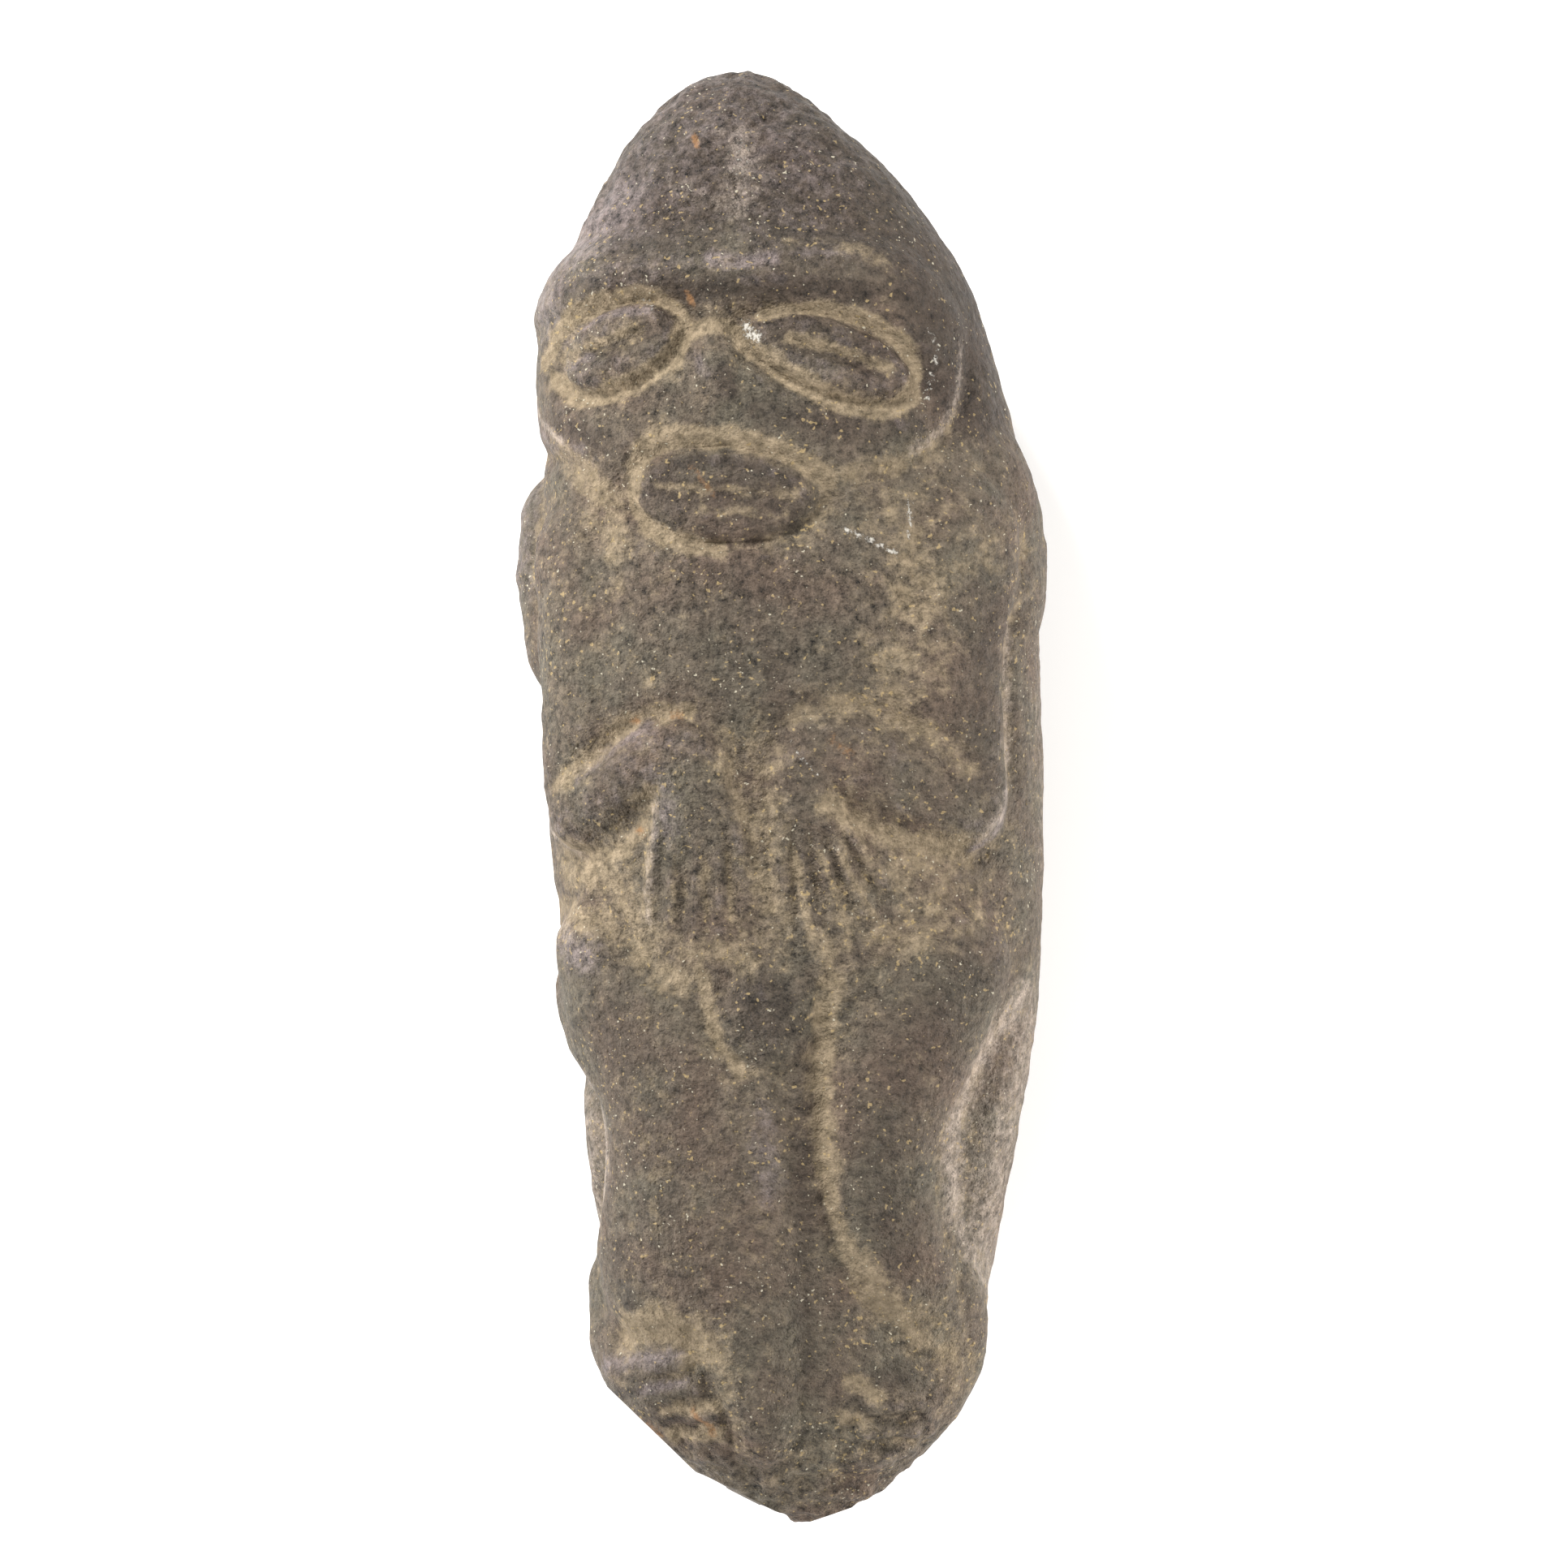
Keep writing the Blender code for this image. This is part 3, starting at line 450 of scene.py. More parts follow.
        "left toe": (((-16.4, -98.6), (-13.6, -102.4)), 0.9, 0.6),
        "mouth": (((-9, 54), (-6, 49.4)), 0.8, 0.4),
        "right wrist": (((11, 9.4), (13.4, 7)), 1.3, 0.4),
    },
    "bruise": {
        "crown": (((-6, 104), (4, 110), (12, 104)), 11.0, 1.0),
        "side of the crown": (((-24, 97), (-16, 104)), 6.0, 0.6),
        "brow": (((-24, 88), (-10, 88), (6, 86)), 4.0, 0.5),
        "face": (((-22, 74), (-6, 70), (12, 66)), 14.0, 0.30),
        "chest": (((-18, 42), (0, 30), (22, 30)), 14.0, 0.28),
        "hands": (((-12, 6), (-8, -12), (10, -12), (0, -34)), 12.0, 0.30),
        "left side": (((-34, 38), (-30, 4), (-28, -20)), 8.0, 0.30),
        "bit": (((-18, -107), (0, -114), (18, -107)), 8.0, 1.0),
        "left hand": (((-24, -8), (-22, -18)), 5.0, 0.5),
    },
}


def smoothThrough(knots, values, at):
    slopes = np.gradient(values, knots)
    i = np.clip(np.searchsorted(knots, at) - 1, 0, len(knots) - 2)
    span = knots[i + 1] - knots[i]
    t = (at - knots[i]) / span
    start = values[i] * (1 + 2 * t) * (1 - t) ** 2 + slopes[i] * span * t * (1 - t) ** 2
    end = values[i + 1] * t * t * (3 - 2 * t) + slopes[i + 1] * span * t * t * (t - 1)
    return start + end


def section(polar):
    # middle, half width, front height and back depth at a polar angle from the crown
    table = np.array(blank["stations"])
    knots = np.arccos(np.clip(table[:, 0] / table[0, 0], -1, 1))
    left, right, front, back = (smoothThrough(knots, table[:, c], polar) for c in range(1, 5))
    return (left + right) / 2, (right - left) / 2, front, back


def reach(turn, half, front, back):
    # from the stone's core to its side, at a turn from the crest of the front
    sine, cosine = np.abs(np.sin(turn)), np.cos(turn)
    height = np.where(cosine > 0, front, back) + 1e-9
    power = np.where(cosine > 0, blank["frontFullness"], blank["backFullness"])
    return ((sine / (half + 1e-9)) ** power + (np.abs(cosine) / height) ** power) ** (-1 / power)


def around(turn, half, front, back, steps=24):
    # length of the skin from the crest of the front round to a turn
    total = np.zeros_like(turn)
    last = reach(np.zeros_like(turn), half, front, back)
    for step in range(1, steps + 1):
        now = reach(turn * step / steps, half, front, back)
        total += np.hypot(now - last, (now + last) / 2 * turn / steps)
        last = now
    return total * np.sign(turn)


def onSkin(points):
    # drawn points as (distance round the skin, distance along), past the outline carried on round the flank
    skin = []
    turns = np.radians(np.linspace(-89, 89, 179))
    for x, y in points:
        middle, half, front, back = section(np.full_like(turns, math.acos(y / blank["stations"][0][0])))
        across = middle + reach(turns, half, front, back) * np.sin(turns)
        seen = np.clip(x, across[0], across[-1])
        skin.append((np.interp(seen, across, around(turns, half, front, back)) + x - seen, y))
    return np.array(skin)


def curveThrough(points, closed=False, steps=6):
    points = np.asarray(points, float)
    if closed:
        ring = np.vstack([points[-1:], points, points[:2]])
    else:
        ring = np.vstack([2 * points[0] - points[1], points, 2 * points[-1] - points[-2]])
    spots = []
    for a, b, c, d in zip(ring, ring[1:], ring[2:], ring[3:]):
        for t in np.arange(steps) / steps:
            bend = (2 * a - 5 * b + 4 * c - d) * t * t + (3 * b - a - 3 * c + d) * t**3
            spots.append(b + 0.5 * ((c - a) * t + bend))
    if not closed:
        spots.append(points[-1])
    return np.array(spots)


def latticeNoise(points, size, seed):
    # smooth random values between -1 and 1, one for each cell of the given size
    scaled = points / size + 100
    cell = np.floor(scaled).astype(np.int64)
    t = scaled - cell
    t = t * t * (3 - 2 * t)
    total = np.zeros(len(points))
    for corner in range(8):
        step = np.array([(corner >> axis) & 1 for axis in range(3)])
        here = cell + step
        mixed = (here[:, 0] * 73856093) ^ (here[:, 1] * 19349663) ^ (here[:, 2] * 83492791) ^ (seed * 40503)
        mixed = ((mixed ^ (mixed >> 13)) * 1274126177) & 0x7FFFFFFF
        mixed = (mixed ^ (mixed >> 15)) & 0xFFFF
        total += np.prod(np.where(step == 1, t, 1 - t), axis=1) * (mixed / 0xFFFF)
    return total * 2 - 1


class Carving:
    # levels of the carved skin: 0 is the ground, 1 is the full relief above it
    def __init__(self, roundSkin, along, turn):
        self.a = roundSkin
        self.y = along
        self.front = np.clip((blank["lastTurn"] - np.abs(turn)) / blank["fadeTurn"], 0, 1)
        self.level = np.zeros_like(along)

    def nearest(self, spots, margin):
        # which places are near a line, how far off, what share along it, and on which side
        low, high = spots.min(0) - margin, spots.max(0) + margin
        here = (self.a > low[0]) & (self.a < high[0]) & (self.y > low[1]) & (self.y < high[1])
        here = np.nonzero(here)[0]
        a, y = self.a[here], self.y[here]
        best, share, side = np.full(len(here), np.inf), np.zeros(len(here)), np.ones(len(here))
        count = len(spots) - 1
        for n, (p, q) in enumerate(zip(spots, spots[1:])):
            run = q - p
            t = np.clip(((a - p[0]) * run[0] + (y - p[1]) * run[1]) / (run @ run + 1e-12), 0, 1)
            away = np.hypot(a - p[0] - t * run[0], y - p[1] - t * run[1])
            closer = away < best
            best = np.where(closer, away, best)
            share = np.where(closer, (n + t) / count, share)
            side = np.where(closer, np.sign(run[0] * (y - p[1]) - run[1] * (a - p[0])), side)
        return here, best, share, side

    def raiseTo(self, here, raised):
        front = self.front[here]
        raised = raised * front - (1 - front)
        level = self.level[here]
        near = np.maximum(blank["blend"] - np.abs(level - raised), 0) / blank["blend"]
        self.level[here] = np.maximum(level, raised) + near * near * blank["blend"] / 4

    def sink(self, here, depth):
        self.level[here] -= depth * blank["grooveDepth"] / blank["relief"] * self.front[here]

    def limb(self, points, radii, heights, square, sides=(1.0, 1.0)):
        here, away, share, side = self.nearest(curveThrough(onSkin(points)), 2 * max(radii) * max(sides))
        radius = np.interp(share, np.linspace(0, 1, len(radii)), radii)
        height = np.interp(share, np.linspace(0, 1, len(heights)), heights)
        radius = radius * np.where(side > 0, sides[1], sides[0])
        self.raiseTo(here, np.maximum(height * (1 - (away / radius) ** square), -1))

    def groove(self, points, width, depth):
        here, away, share, _ = self.nearest(curveThrough(onSkin(points)), 3 * width)
        inward = np.clip(np.minimum(share, 1 - share) * blank["grooveTaper"], 0, 1)
        shallow = blank["grooveEnds"] + (1 - blank["grooveEnds"]) * inward
        self.sink(here, depth * shallow * np.exp(-((away / width) ** 2)))

    def oval(self, middle, size, lean):
        # where an oval reaches, and how far out each place is: 0 at its middle and 1 on its rim
        a, y = onSkin([middle])[0]
        margin = 3 * max(size)
        here = np.nonzero((np.abs(self.a - a) < margin) & (np.abs(self.y - y) < margin))[0]
        a, y = self.a[here] - a, self.y[here] - y
        c, s = math.cos(math.radians(lean)), math.sin(math.radians(lean))
        return here, np.hypot((a * c + y * s) / size[0], (y * c - a * s) / size[1])

    def bean(self, middle, size, lean, height, ring, slit):
        shape = beanShape
        here, out = self.oval(middle, size, lean)
        away = (out - 1) * math.sqrt(size[0] * size[1]) - shape["inside"]
        width = np.where(away < 0, shape["inside"], shape["outside"])
        self.sink(here, ring * np.exp(-((away / width) ** 2)))
        self.level[here] += height * np.maximum(1 - out ** shape["fullness"], 0)
        c, s = math.cos(math.radians(lean)), math.sin(math.radians(lean))
        runs = (shape["slitFrom"] * size[0], 0, shape["slitTo"] * size[0])
        self.groove([(middle[0] + run * c, middle[1] + run * s) for run in runs], shape["slit"], slit)

    def swell(self, middle, size, lean, height):
        here, out = self.oval(middle, size, lean)
        self.level[here] += height * np.exp(-(out**2) * blank["swellFalloff"]) * self.front[here]

    def field(self, outline, height, edge):
        spots = curveThrough(onSkin(outline), closed=True)
        spots = np.vstack([spots, spots[:1]])
        here, away, _, _ = self.nearest(spots, 4 * edge)
        a, y = self.a[here], self.y[here]
        inside = np.zeros(len(here), bool)
        for p, q in zip(spots, spots[1:]):
            crosses = (p[1] > y) != (q[1] > y)
            inside ^= crosses & (a < p[0] + (y - p[1]) * (q[0] - p[0]) / (q[1] - p[1] + 1e-12))
        self.raiseTo(here, height * np.where(inside, 1 - np.exp(-away / edge), np.maximum(-away / edge, -2)))

    def layer(self, strokes):
        # how strongly a layer of paint lies on each place
        amount = np.zeros_like(self.level)
        for points, width, strength in strokes.values():
            here, away, _, _ = self.nearest(curveThrough(onSkin(points)), 2.6 * width)
            amount[here] = np.maximum(amount[here], strength * np.exp(-((away / width) ** 2)))
        return amount


def carve(stone):
    for form in fields.values():
        stone.field(*form)
    for form in limbs.values():
        stone.limb(*form)
    for form in digits.values():
        lines = form["lines"]
        for line in lines:
            stone.limb(line, form["radii"], form["heights"], 2.0)
        for near, far in zip(lines, lines[1:]):
            between = [((p[0] + q[0]) / 2, (p[1] + q[1]) / 2) for p, q in zip(near, far)]
            stone.groove(between, *form["gap"])
    for form in beans.values():
        stone.bean(*form)
    for form in grooves.values():
        stone.groove(*form)
    for form in swellings.values():
        stone.swell(*form)


def hollowness(mesh, level, spread=26):
    # how much lower each place is than the ground round it
    ends = np.empty(len(mesh.edges) * 2, int)
    mesh.edges.foreach_get("vertices", ends)
    a, b = ends[0::2], ends[1::2]
    count = np.bincount(a, minlength=len(level)) + np.bincount(b, minlength=len(level))
    smooth = level.copy()
    for _ in range(spread):
        near = np.bincount(a, smooth[b], len(level)) + np.bincount(b, smooth[a], len(level))
        smooth = (smooth + near / count) / 2
    return smooth - level


def shapeStone(ball):
    places = np.empty(len(ball.vertices) * 3)
    ball.vertices.foreach_get("co", places)
    places = places.reshape(-1, 3)
    polar = np.arccos(np.clip(places[:, 2], -1, 1))
    turn = np.arctan2(places[:, 0], -places[:, 1])
    turn = turn - blank["crowding"] * np.sin(turn)
    middle, half, front, back = section(polar)
    far = reach(turn, half, front, back)
    along = blank["stations"][0][0] * np.cos(polar)
    skin = np.column_stack([middle + far * np.sin(turn), along, far * np.cos(turn)])
    ball.vertices.foreach_set("co", skin.ravel())
    ball.update()
    normals = np.empty(len(skin) * 3)
    ball.vertex_normals.foreach_get("vector", normals)
    normals = normals.reshape(-1, 3)

    stone = Carving(around(turn, half, front, back), along, turn)
    carve(stone)
    layers = {name: stone.layer(strokes) for name, strokes in paint.items()}
    depth = stone.level * blank["relief"]
    for seed, (size, deep, bruised) in enumerate(pecking.values()):
        depth += latticeNoise(skin, size, seed + 1) * (deep + bruised * layers["bruise"])
    skin = skin + normals * depth[:, None]
    for spot, facing in flakes:
        face = np.array(facing) / np.linalg.norm(facing)
        skin -= np.maximum((skin - np.array(spot)) @ face, 0)[:, None] * face
    for spot, radius in scars:
        away = (skin - np.array(spot)) * (1, 1, scarStretch)
        skin += away * np.maximum(radius / np.linalg.norm(away, axis=1) - 1, 0)[:, None]
    ball.vertices.foreach_set("co", (skin * mm).ravel())
    ball.update()
    layers["hollow"] = hollowness(ball, depth)
    for name, amount in layers.items():
        ball.attributes.new(name, "FLOAT", "POINT").data.foreach_set("value", amount)


def cutRestFlat(mesh):
    work = bmesh.new()
    work.from_mesh(mesh)
    lowest = min(v.co.z for v in work.verts)
    cut = bmesh.ops.bisect_plane(
        work, geom=work.verts[:] + work.edges[:] + work.faces[:],
        plane_co=(0, 0, lowest + blank["restFlat"] * mm), plane_no=(0, 0, 1), clear_inner=True,
    )
    rim = [piece for piece in cut["geom_cut"] if isinstance(piece, bmesh.types.BMEdge)]
    flat = bmesh.ops.holes_fill(work, edges=rim, sides=0)["faces"]
    bmesh.ops.triangulate(work, faces=flat)
    bmesh.ops.recalc_face_normals(work, faces=work.faces[:])
    work.to_mesh(mesh)
    work.free()


def fitToSolid(mesh):
    # the stone takes the place of its solid, and stays inside the solid's box
    low, high = (Vector(corner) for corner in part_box("figural_celt"))
    spots = np.empty(len(mesh.vertices) * 3)
    mesh.vertices.foreach_get("co", spots)
    spots = spots.reshape(-1, 3)
    mine = spots.max(0) - spots.min(0)
    scale = min(1.0, min((high[k] - low[k]) / mine[k] for k in range(3)))
    middle = (spots.max(0) + spots.min(0)) / 2
    middle[2] = spots[:, 2].min()
    goal = np.array([(low.x + high.x) / 2, (low.y + high.y) / 2, low.z])
    spots = (spots - middle) * scale + goal
    mesh.vertices.foreach_set("co", spots.ravel())
    mesh.update()
    print("fitted to the solid, scale", round(scale, 5))


def feed(tree, socket, value):
    # a link where the value comes from another node, else the value itself
    if isinstance(value, bpy.types.NodeSocket):
        tree.links.new(value, socket)
    else:
        socket.default_value = value


def addNode(tree, kind, inputs=None, **settings):
    made = tree.nodes.new(kind)
    for name, value in settings.items():
        setattr(made, name, value)
    for name, value in (inputs or {}).items():
        feed(tree, made.inputs[name], value)
    return made


def calc(tree, operation, a, b=0.0, clamp=False):
    return addNode(tree, "ShaderNodeMath", {0: a, 1: b}, operation=operation, use_clamp=clamp).outputs[0]


def remap(tree, value, fromLow, fromHigh, toLow, toHigh, smooth=False):
    made = addNode(tree, "ShaderNodeMapRange", {0: value, 1: fromLow, 2: fromHigh, 3: toLow, 4: toHigh})
    made.interpolation_type = "SMOOTHSTEP" if smooth else "LINEAR"
    return made.outputs[0]


def mixColour(tree, factor, a, b, blend="MIX"):
    made = tree.nodes.new("ShaderNodeMix")
    made.data_type = "RGBA"
    made.blend_type = blend
    for index, value in ((0, factor), (6, a), (7, b)):
        feed(tree, made.inputs[index], value)
    return made.outputs[2]


def noise(tree, place, size, detail=2.0, rough=0.5):
    # the size is in mm, as a number or from a node
    scale = calc(tree, "DIVIDE", 1.0, size) if isinstance(size, bpy.types.NodeSocket) else 1 / size
    inputs = {"Vector": place, "Scale": scale, "Detail": detail, "Roughness": rough}
    return addNode(tree, "ShaderNodeTexNoise", inputs).outputs["Fac"]


exposure = 0.685  # the studio is bright, so the stone is darker than it looks


def fromScreen(red, green, blue):
    # a colour as it should look in the picture, 0 to 255, as the stone's own linear colour
    def one(v):
        v = v / 255
        return v / 12.92 if v <= 0.04045 else ((v + 0.055) / 1.055) ** 2.4
    return (one(red) * exposure, one(green) * exposure, one(blue) * exposure, 1.0)


def startGroup(name, inputs, output):
    # a group that takes a place and the named numbers, and gives one number
    tree = bpy.data.node_groups.new(name, "ShaderNodeTree")
    tree.interface.new_socket(name="Place", in_out="INPUT", socket_type="NodeSocketVector")
    for label, value in inputs.items():
        socket = tree.interface.new_socket(name=label, in_out="INPUT", socket_type="NodeSocketFloat")
        socket.default_value = value
    tree.interface.new_socket(name=output, in_out="OUTPUT", socket_type="NodeSocketFloat")
    given = tree.nodes.new("NodeGroupInput").outputs
    return tree, given, tree.nodes.new("NodeGroupOutput").inputs[output]


def fill(tree, group, inputs):
    made = tree.nodes.new("ShaderNodeGroup")
    made.node_tree = group
    for name, value in inputs.items():
        feed(tree, made.inputs[name], value)
    return made.outputs


stoneLook = {
    "brown": fromScreen(99, 85, 73),
    "olive": fromScreen(96, 89, 76),
    # colour of the darker stone, and of the painted shade
    "darkest": fromScreen(62, 53, 46),
    # lavender-grey of the painted highlight and the worn polish
    "lilacWearAndHighlight": fromScreen(132, 120, 118),
    # colour of the painted highlight on lit flanks and rims, and of the crown's scuff
    "paleScuffAndHighlight": fromScreen(186, 171, 157),
    "crustLight": fromScreen(165, 148, 122),
    "crustDeep": fromScreen(141, 126, 102),
    "tanSpeck": fromScreen(190, 166, 118),
    "paleSpeck": fromScreen(200, 192, 170),
    "darkSpeck": fromScreen(40, 34, 30),
    "ochre": fromScreen(166, 122, 80),
    "chalk": fromScreen(222, 217, 206),
    # how each layer lies on the stone: grain of its torn edge in mm, tear, softness, cover
    "layers": {
        "crust": (3.4, 1.7, 0.28, 0.80),
        "dark": (2.8, 1.0, 0.42, 0.75),
        "lilacWearAndHighlight": (2.2, 1.6, 0.42, 0.70),
        "paleScuffAndHighlight": (1.6, 1.4, 0.42, 0.75),
        "ochre": (0.9, 1.4, 0.30, 0.70),
        "chalk": (0.7, 2.2, 0.14, 0.85),
    },
    "untorn": 0.12,  # where less than this is painted, the edge is torn less
    "crustEverywhere": 0.22,  # how much of the crust lies in the pores all over
    "crustStroke": 0.74,  # how thickly a stroke of crust is laid
    "crustInHollows": 0.25,  # how much gathers in the deepest carving
    "crustOffDark": 0.20,  # how much is missing where the dark layer lies, painted shade included
    "lilacOnCrests": 0.3,  # how much of the lavender-grey worn polish and painted highlight lies on the proudest places
    "hollows": (0.05, 0.60),  # mm below the ground, shallow and deep
    "crests": (-0.6, -0.15),
    # mineral specks: size in mm, rarity, size of a cluster in mm, cover
    "specks": {
        "darkSpeck": (0.75, 0.645, 5.0, 0.64),
        "tanSpeck": (0.85, 0.690, 9.0, 0.58),
        "paleSpeck": (0.70, 0.735, 12.0, 0.85),
    },
    "speckClustering": 0.25,
    "speckEdge": 0.06,
    "darkSpeckUnderCrust": 0.50,
    "groundPatch": 14.0,  # mm, patches of brown and olive
    "crustPatch": 2.1,  # mm, patches of light and deep crust
    "mottle": 1.5,  # mm, light and dark minerals
    "mottleSwing": (4.0, 5.6),  # their contrast, on sound and on bruised ground
    "mottleUnderCrust": 1.7,  # how much of the contrast the crust hides
    "roughness": 0.62,
    "crustRoughness": 0.86,
    "wornRoughness": 0.50,
    "roughnessSwing": 0.07,
    "roughnessPatch": 1.4,  # mm
    "shine": 0.18,  # weathered stone reflects less than a clean one
    # fine relief: size and height in mm
    "waves": (2.1, 1.2),
    "grain": (0.45, 0.12),
    "bruises": (2.4, 0.5),
    "pits": (1.3, -0.32),
    "pitReach": 0.38,  # how far a pit spreads in its cell
    "pitless": 0.35,  # share of the cells that have no pit
    "chalkHeight": -0.12,
}


def makeSpecks():
    # mineral specks: small ragged spots, gathered in loose clusters
    tree, given, mask = startGroup("mineralSpecks", {"Size": 0.7, "Rarity": 0.62, "Cluster": 6.0}, "Mask")
    spots, clusters = (noise(tree, given["Place"], given[size], 1.0) for size in ("Size", "Cluster"))
    lift = calc(tree, "MULTIPLY", calc(tree, "SUBTRACT", clusters, 0.5), stoneLook["speckClustering"])
    spots = calc(tree, "ADD", spots, lift)
    full = calc(tree, "ADD", given["Rarity"], stoneLook["speckEdge"])
    tree.links.new(remap(tree, spots, given["Rarity"], full, 0.0, 1.0, smooth=True), mask)
    return tree


def makeTornLayer():
    # a painted layer with its edge torn by grain, so that it lies in the pores and misses the tops
    numbers = {"Amount": 0.0, "Grain": 1.0, "Tear": 0.5, "Soft": 0.35}
    tree, given, mask = startGroup("tornLayer", numbers, "Mask")
    fine = noise(tree, given["Place"], given["Grain"], 5.0, 0.72)
    torn = calc(tree, "MULTIPLY", calc(tree, "SUBTRACT", fine, 0.5), given["Tear"])
    torn = calc(tree, "MULTIPLY", torn, remap(tree, given["Amount"], 0.0, stoneLook["untorn"], 0.0, 1.0))
    level = calc(tree, "ADD", given["Amount"], torn)
    low = calc(tree, "SUBTRACT", 0.5, given["Soft"])
    high = calc(tree, "ADD", 0.5, given["Soft"])
    tree.links.new(remap(tree, level, low, high, 0.0, 1.0, smooth=True), mask)
    return tree


def makePeckedSkin():
    # fine relief of a pecked and weathered stone, in mm
    tree, given, height = startGroup("peckedSkin", {"Bruise": 0.0}, "Height")
    look, place = stoneLook, given["Place"]

    def swelling(name, detail, rough, share=1.0):
        size, high = look[name]
        high = calc(tree, "MULTIPLY", share, high)
        return calc(tree, "MULTIPLY", noise(tree, place, size, detail, rough), high)

    ground = calc(tree, "ADD", swelling("waves", 4.0, 0.7), swelling("grain", 2.0, 0.6))
    spacing, deepest = look["pits"]
    inputs = {"Vector": place, "Scale": 1 / spacing, "Randomness": 1.0}
    cells = addNode(tree, "ShaderNodeTexVoronoi", inputs).outputs
    chance = addNode(tree, "ShaderNodeSeparateColor", {0: cells["Color"]}).outputs[0]
    pits = remap(tree, cells["Distance"], 0.0, look["pitReach"], 1.0, 0.0, smooth=True)
    pits = calc(tree, "MULTIPLY", pits, remap(tree, chance, look["pitless"], 1.0, 0.0, deepest))
    ground = calc(tree, "ADD", ground, pits)
    tree.links.new(calc(tree, "ADD", ground, swelling("bruises", 4.0, 0.7, given["Bruise"])), height)
    return tree


def makeStone():
    look = stoneLook
    material = bpy.data.materials.new("weatheredGreenstone")
    material.use_nodes = True
    tree = material.node_tree
    shader = tree.nodes["Principled BSDF"]
    specks, torn, pecked = makeSpecks(), makeTornLayer(), makePeckedSkin()
    inMetres = tree.nodes.new("ShaderNodeTexCoord").outputs["Object"]
    spot = addNode(tree, "ShaderNodeVectorMath", {0: inMetres, "Scale": 1 / mm}, operation="SCALE").outputs[0]
    amount = {}
    for name in (*paint, "hollow"):
        made = addNode(tree, "ShaderNodeAttribute", attribute_name=name, attribute_type="GEOMETRY")
        amount[name] = made.outputs["Fac"]

    def times(a, b):
        return calc(tree, "MULTIPLY", a, b)

    def patches(size, a, b, rough=0.5):
        share = remap(tree, noise(tree, spot, size, 3, rough), 0.35, 0.65, 0, 1)
        return mixColour(tree, share, a, b)

    # crust fills what lies low, and what stands proud gets the lavender-grey of worn polish and painted
    # highlight
    filled = remap(tree, amount["hollow"], *look["hollows"], 0.0, look["crustInHollows"])
    laid = calc(tree, "MAXIMUM", times(amount["crust"], look["crustStroke"]), filled)
    laid = calc(tree, "ADD", laid, look["crustEverywhere"])
    amount["crust"] = calc(tree, "SUBTRACT", laid, times(amount["dark"], look["crustOffDark"]))
    crestWearAndSheen = remap(tree, amount["hollow"], *look["crests"], look["lilacOnCrests"], 0.0)
    amount["lilacWearAndHighlight"] = calc(tree, "MAXIMUM", amount["lilacWearAndHighlight"], crestWearAndSheen)
    mask, share = {}, {}
    for name, (grain, tear, soft, share[name]) in look["layers"].items():
        inputs = {"Place": spot, "Amount": amount[name], "Grain": grain, "Tear": tear, "Soft": soft}
        mask[name] = fill(tree, torn, inputs)["Mask"]
    for name, (size, rarity, cluster, share[name]) in look["specks"].items():
        inputs = {"Place": spot, "Size": size, "Rarity": rarity, "Cluster": cluster}
        mask[name] = fill(tree, specks, inputs)["Mask"]
    crust = mask["crust"]
    hidden = times(crust, look["darkSpeckUnderCrust"])
    share["darkSpeck"] = calc(tree, "SUBTRACT", share["darkSpeck"], hidden)

    def cover(colour, name, over):
        return mixColour(tree, times(mask[name], share[name]), colour, over)

    colour = patches(look["groundPatch"], look["brown"], look["olive"], 0.55)
    # darker stone and stains, with painted shade under the brow, in the mouth and on the crown's right side
    colour = cover(colour, "dark", look["darkest"])
    # painted highlight and worn polish, lavender-grey
    colour = cover(colour, "lilacWearAndHighlight", look["lilacWearAndHighlight"])
    colour = cover(colour, "crust", patches(look["crustPatch"], look["crustDeep"], look["crustLight"]))
    # painted highlight on lit flanks and rims, with the crown's scuff
    colour = cover(colour, "paleScuffAndHighlight", look["paleScuffAndHighlight"])
    # mottled grain: light and dark minerals a few tenths of a millimetre across
    swing = remap(tree, amount["bruise"], 0.0, 0.30, *look["mottleSwing"])
    swing = calc(tree, "SUBTRACT", swing, times(crust, look["mottleUnderCrust"]))
    tone = calc(tree, "SUBTRACT", noise(tree, spot, look["mottle"], 5, 0.82), 0.5)
    tone = calc(tree, "ADD", times(tone, swing), 1.0)
    toneColour = addNode(tree, "ShaderNodeCombineColor", {0: tone, 1: tone, 2: tone}).outputs[0]
    colour = mixColour(tree, 1.0, colour, toneColour, "MULTIPLY")
    for name in (*look["specks"], "ochre", "chalk"):
        colour = cover(colour, name, look[name])
    tree.links.new(colour, shader.inputs["Base Color"])

    plain, most = look["roughness"], look["roughnessSwing"]
    roughness = calc(tree, "ADD", plain, times(crust, look["crustRoughness"] - plain))
    roughness = calc(tree, "ADD", roughness, times(mask["lilacWearAndHighlight"], look["wornRoughness"] - plain))
    uneven = remap(tree, noise(tree, spot, look["roughnessPatch"]), 0.3, 0.7, -most, most)
    roughness = calc(tree, "ADD", roughness, uneven, clamp=True)
    tree.links.new(roughness, shader.inputs["Roughness"])
    shader.inputs["Specular IOR Level"].default_value = look["shine"]

    height = fill(tree, pecked, {"Place": spot, "Bruise": amount["bruise"]})["Height"]
    height = calc(tree, "ADD", height, times(mask["chalk"], look["chalkHeight"]))
    bump = addNode(tree, "ShaderNodeBump", {"Strength": 1.0, "Distance": mm, "Height": height})
    tree.links.new(bump.outputs[0], shader.inputs["Normal"])
    return material


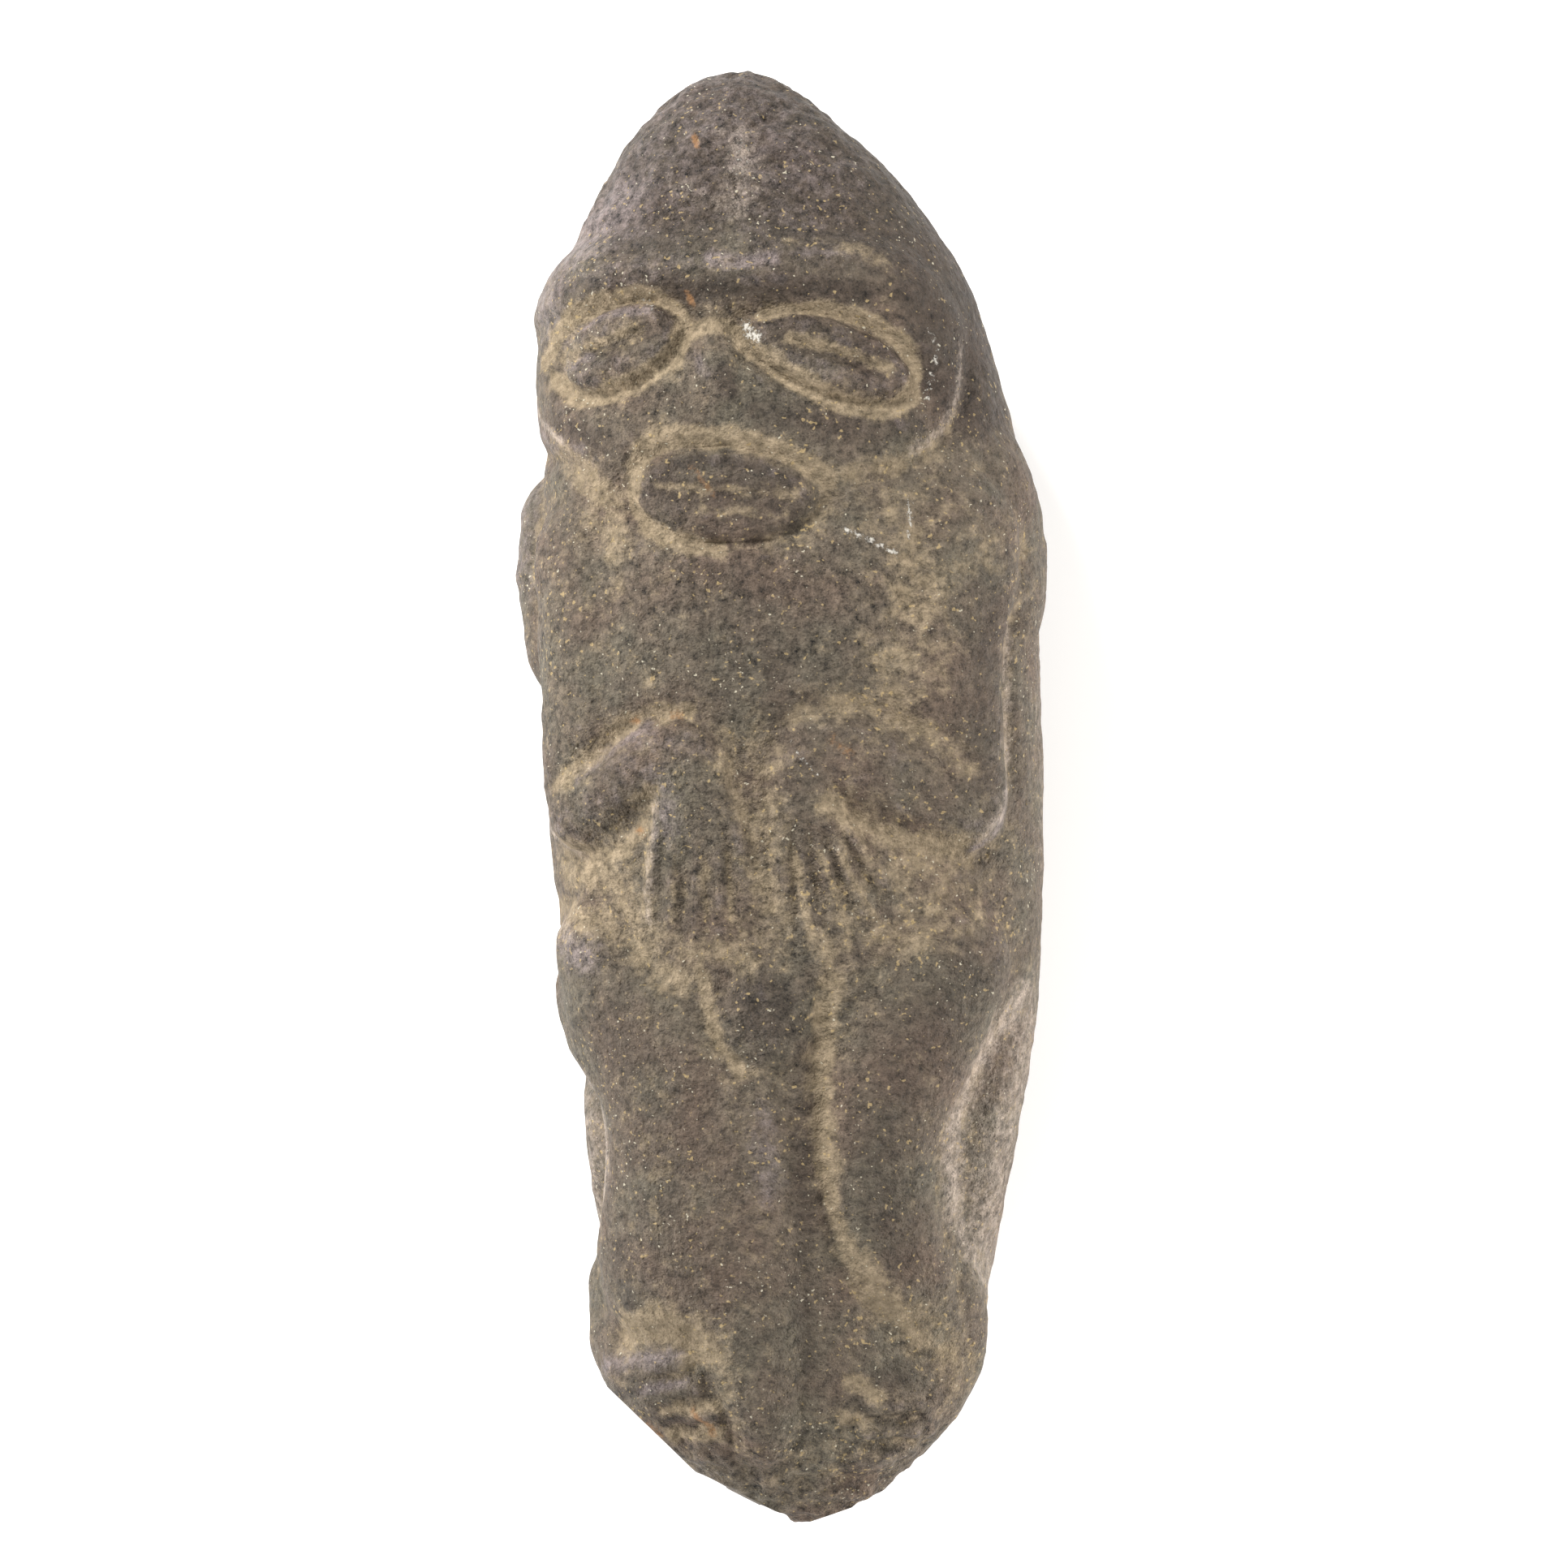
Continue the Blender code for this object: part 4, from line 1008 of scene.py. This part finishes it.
def buildStone():
    mesh = bpy.data.meshes.new("carvedStone")
    work = bmesh.new()
    bmesh.ops.create_uvsphere(work, u_segments=blank["segments"], v_segments=blank["rings"], radius=1)
    work.to_mesh(mesh)
    work.free()
    shapeStone(mesh)
    print("stone carved:", len(mesh.vertices), "points")
    cutRestFlat(mesh)
    fitToSolid(mesh)
    mesh.shade_smooth()
    mesh.set_sharp_from_angle(angle=blank["sharpEdge"])
    stone = bpy.data.objects.new("carvedStone", mesh)
    bpy.context.scene.collection.objects.link(stone)
    mesh.materials.append(makeStone())
    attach(stone, "root")
    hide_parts("figural_celt")
    print("stone dressed")
    return stone


studio = {
    "floorSize": 4.0,
    "floorColour": (0.95, 0.95, 0.945, 1.0),
    "floorRoughness": 0.9,
    "floorGlow": 0.16,  # keeps the floor white under the stone's faint shadow
    "skyColour": (1.0, 1.0, 1.0, 1.0),
    "skyStrength": 0.55,
    # name: azimuth from +Y clockwise, elevation, distance, size, watts, colour
    "lamps": {
        "key": (-28, 36, 0.95, 0.28, 14.5, (1.0, 0.985, 0.97)),
        "leftRim": (-110, 16, 0.75, 0.4, 6.0, (0.98, 0.97, 0.97)),
        "rightRim": (112, 18, 0.75, 0.4, 8.5, (1.0, 0.97, 0.94)),
    },
}


def buildStudio():
    bpy.context.scene.view_settings.view_transform = "Standard"
    floorMesh = bpy.data.meshes.new("paleFloor")
    work = bmesh.new()
    bmesh.ops.create_grid(work, x_segments=1, y_segments=1, size=studio["floorSize"] / 2)
    work.to_mesh(floorMesh)
    work.free()
    floor = bpy.data.objects.new("paleFloor", floorMesh)
    bpy.context.scene.collection.objects.link(floor)
    floorPaint = bpy.data.materials.new("palePaper")
    floorPaint.use_nodes = True
    paper = floorPaint.node_tree.nodes["Principled BSDF"]
    paper.inputs["Base Color"].default_value = studio["floorColour"]
    paper.inputs["Roughness"].default_value = studio["floorRoughness"]
    paper.inputs["Emission Color"].default_value = studio["floorColour"]
    paper.inputs["Emission Strength"].default_value = studio["floorGlow"]
    floorMesh.materials.append(floorPaint)
    world = bpy.data.worlds.new("whiteTent")
    world.use_nodes = True
    sky = world.node_tree.nodes["Background"]
    sky.inputs["Color"].default_value = studio["skyColour"]
    sky.inputs["Strength"].default_value = studio["skyStrength"]
    bpy.context.scene.world = world
    for name, (azimuth, elevation, distance, size, power, colour) in studio["lamps"].items():
        lamp = bpy.data.lights.new(name, "AREA")
        lamp.energy, lamp.size, lamp.color = power, size, colour
        holder = bpy.data.objects.new(name, lamp)
        a, e = math.radians(azimuth), math.radians(elevation)
        away = Vector((math.sin(a) * math.cos(e), math.cos(a) * math.cos(e), math.sin(e)))
        holder.location = away * distance
        holder.rotation_euler = away.to_track_quat("Z", "Y").to_euler()
        bpy.context.scene.collection.objects.link(holder)
    print("studio lit")


view = {
    "lens": 135.0,
    "sensor": 36.0,
    "imageSize": 1932,
    "stoneBox": (634, 87, 1291, 1876),  # left, top, right and bottom of the stone in the picture, in pixels
    "lean": math.radians(2.789),  # the stone leans this far in the picture
}


def placeCamera(stone):
    # straight above, so far up and so placed that the stone fills its box of the picture
    camera = bpy.data.objects.new("camera", bpy.data.cameras.new("camera"))
    bpy.context.scene.collection.objects.link(camera)
    bpy.context.scene.camera = camera
    camera.data.lens = view["lens"]
    camera.data.sensor_width = view["sensor"]
    lean = view["lean"]
    right = np.array((math.cos(lean), -math.sin(lean), 0))
    up = np.array((math.sin(lean), math.cos(lean), 0))
    spots = np.array([stone.matrix_world @ point.co for point in stone.data.vertices])
    across, along = spots @ right, spots @ up
    leftEdge, topEdge, rightEdge, bottomEdge = view["stoneBox"]
    pixel = (along.max() - along.min()) / (bottomEdge - topEdge)
    distance = pixel * view["imageSize"] * view["lens"] / view["sensor"]
    middle = view["imageSize"] / 2
    aside = (across.max() + across.min()) / 2 + (middle - (leftEdge + rightEdge) / 2) * pixel
    ahead = (along.max() + along.min()) / 2 + ((topEdge + bottomEdge) / 2 - middle) * pixel
    outlineHeight = spots[along.argmax()][2]
    camera.location = right * aside + up * ahead + np.array((0, 0, outlineHeight + distance))
    camera.rotation_euler = (0, 0, -lean)
    print("camera placed")


celt = buildStone()
buildStudio()
bpy.context.view_layer.update()
placeCamera(celt)
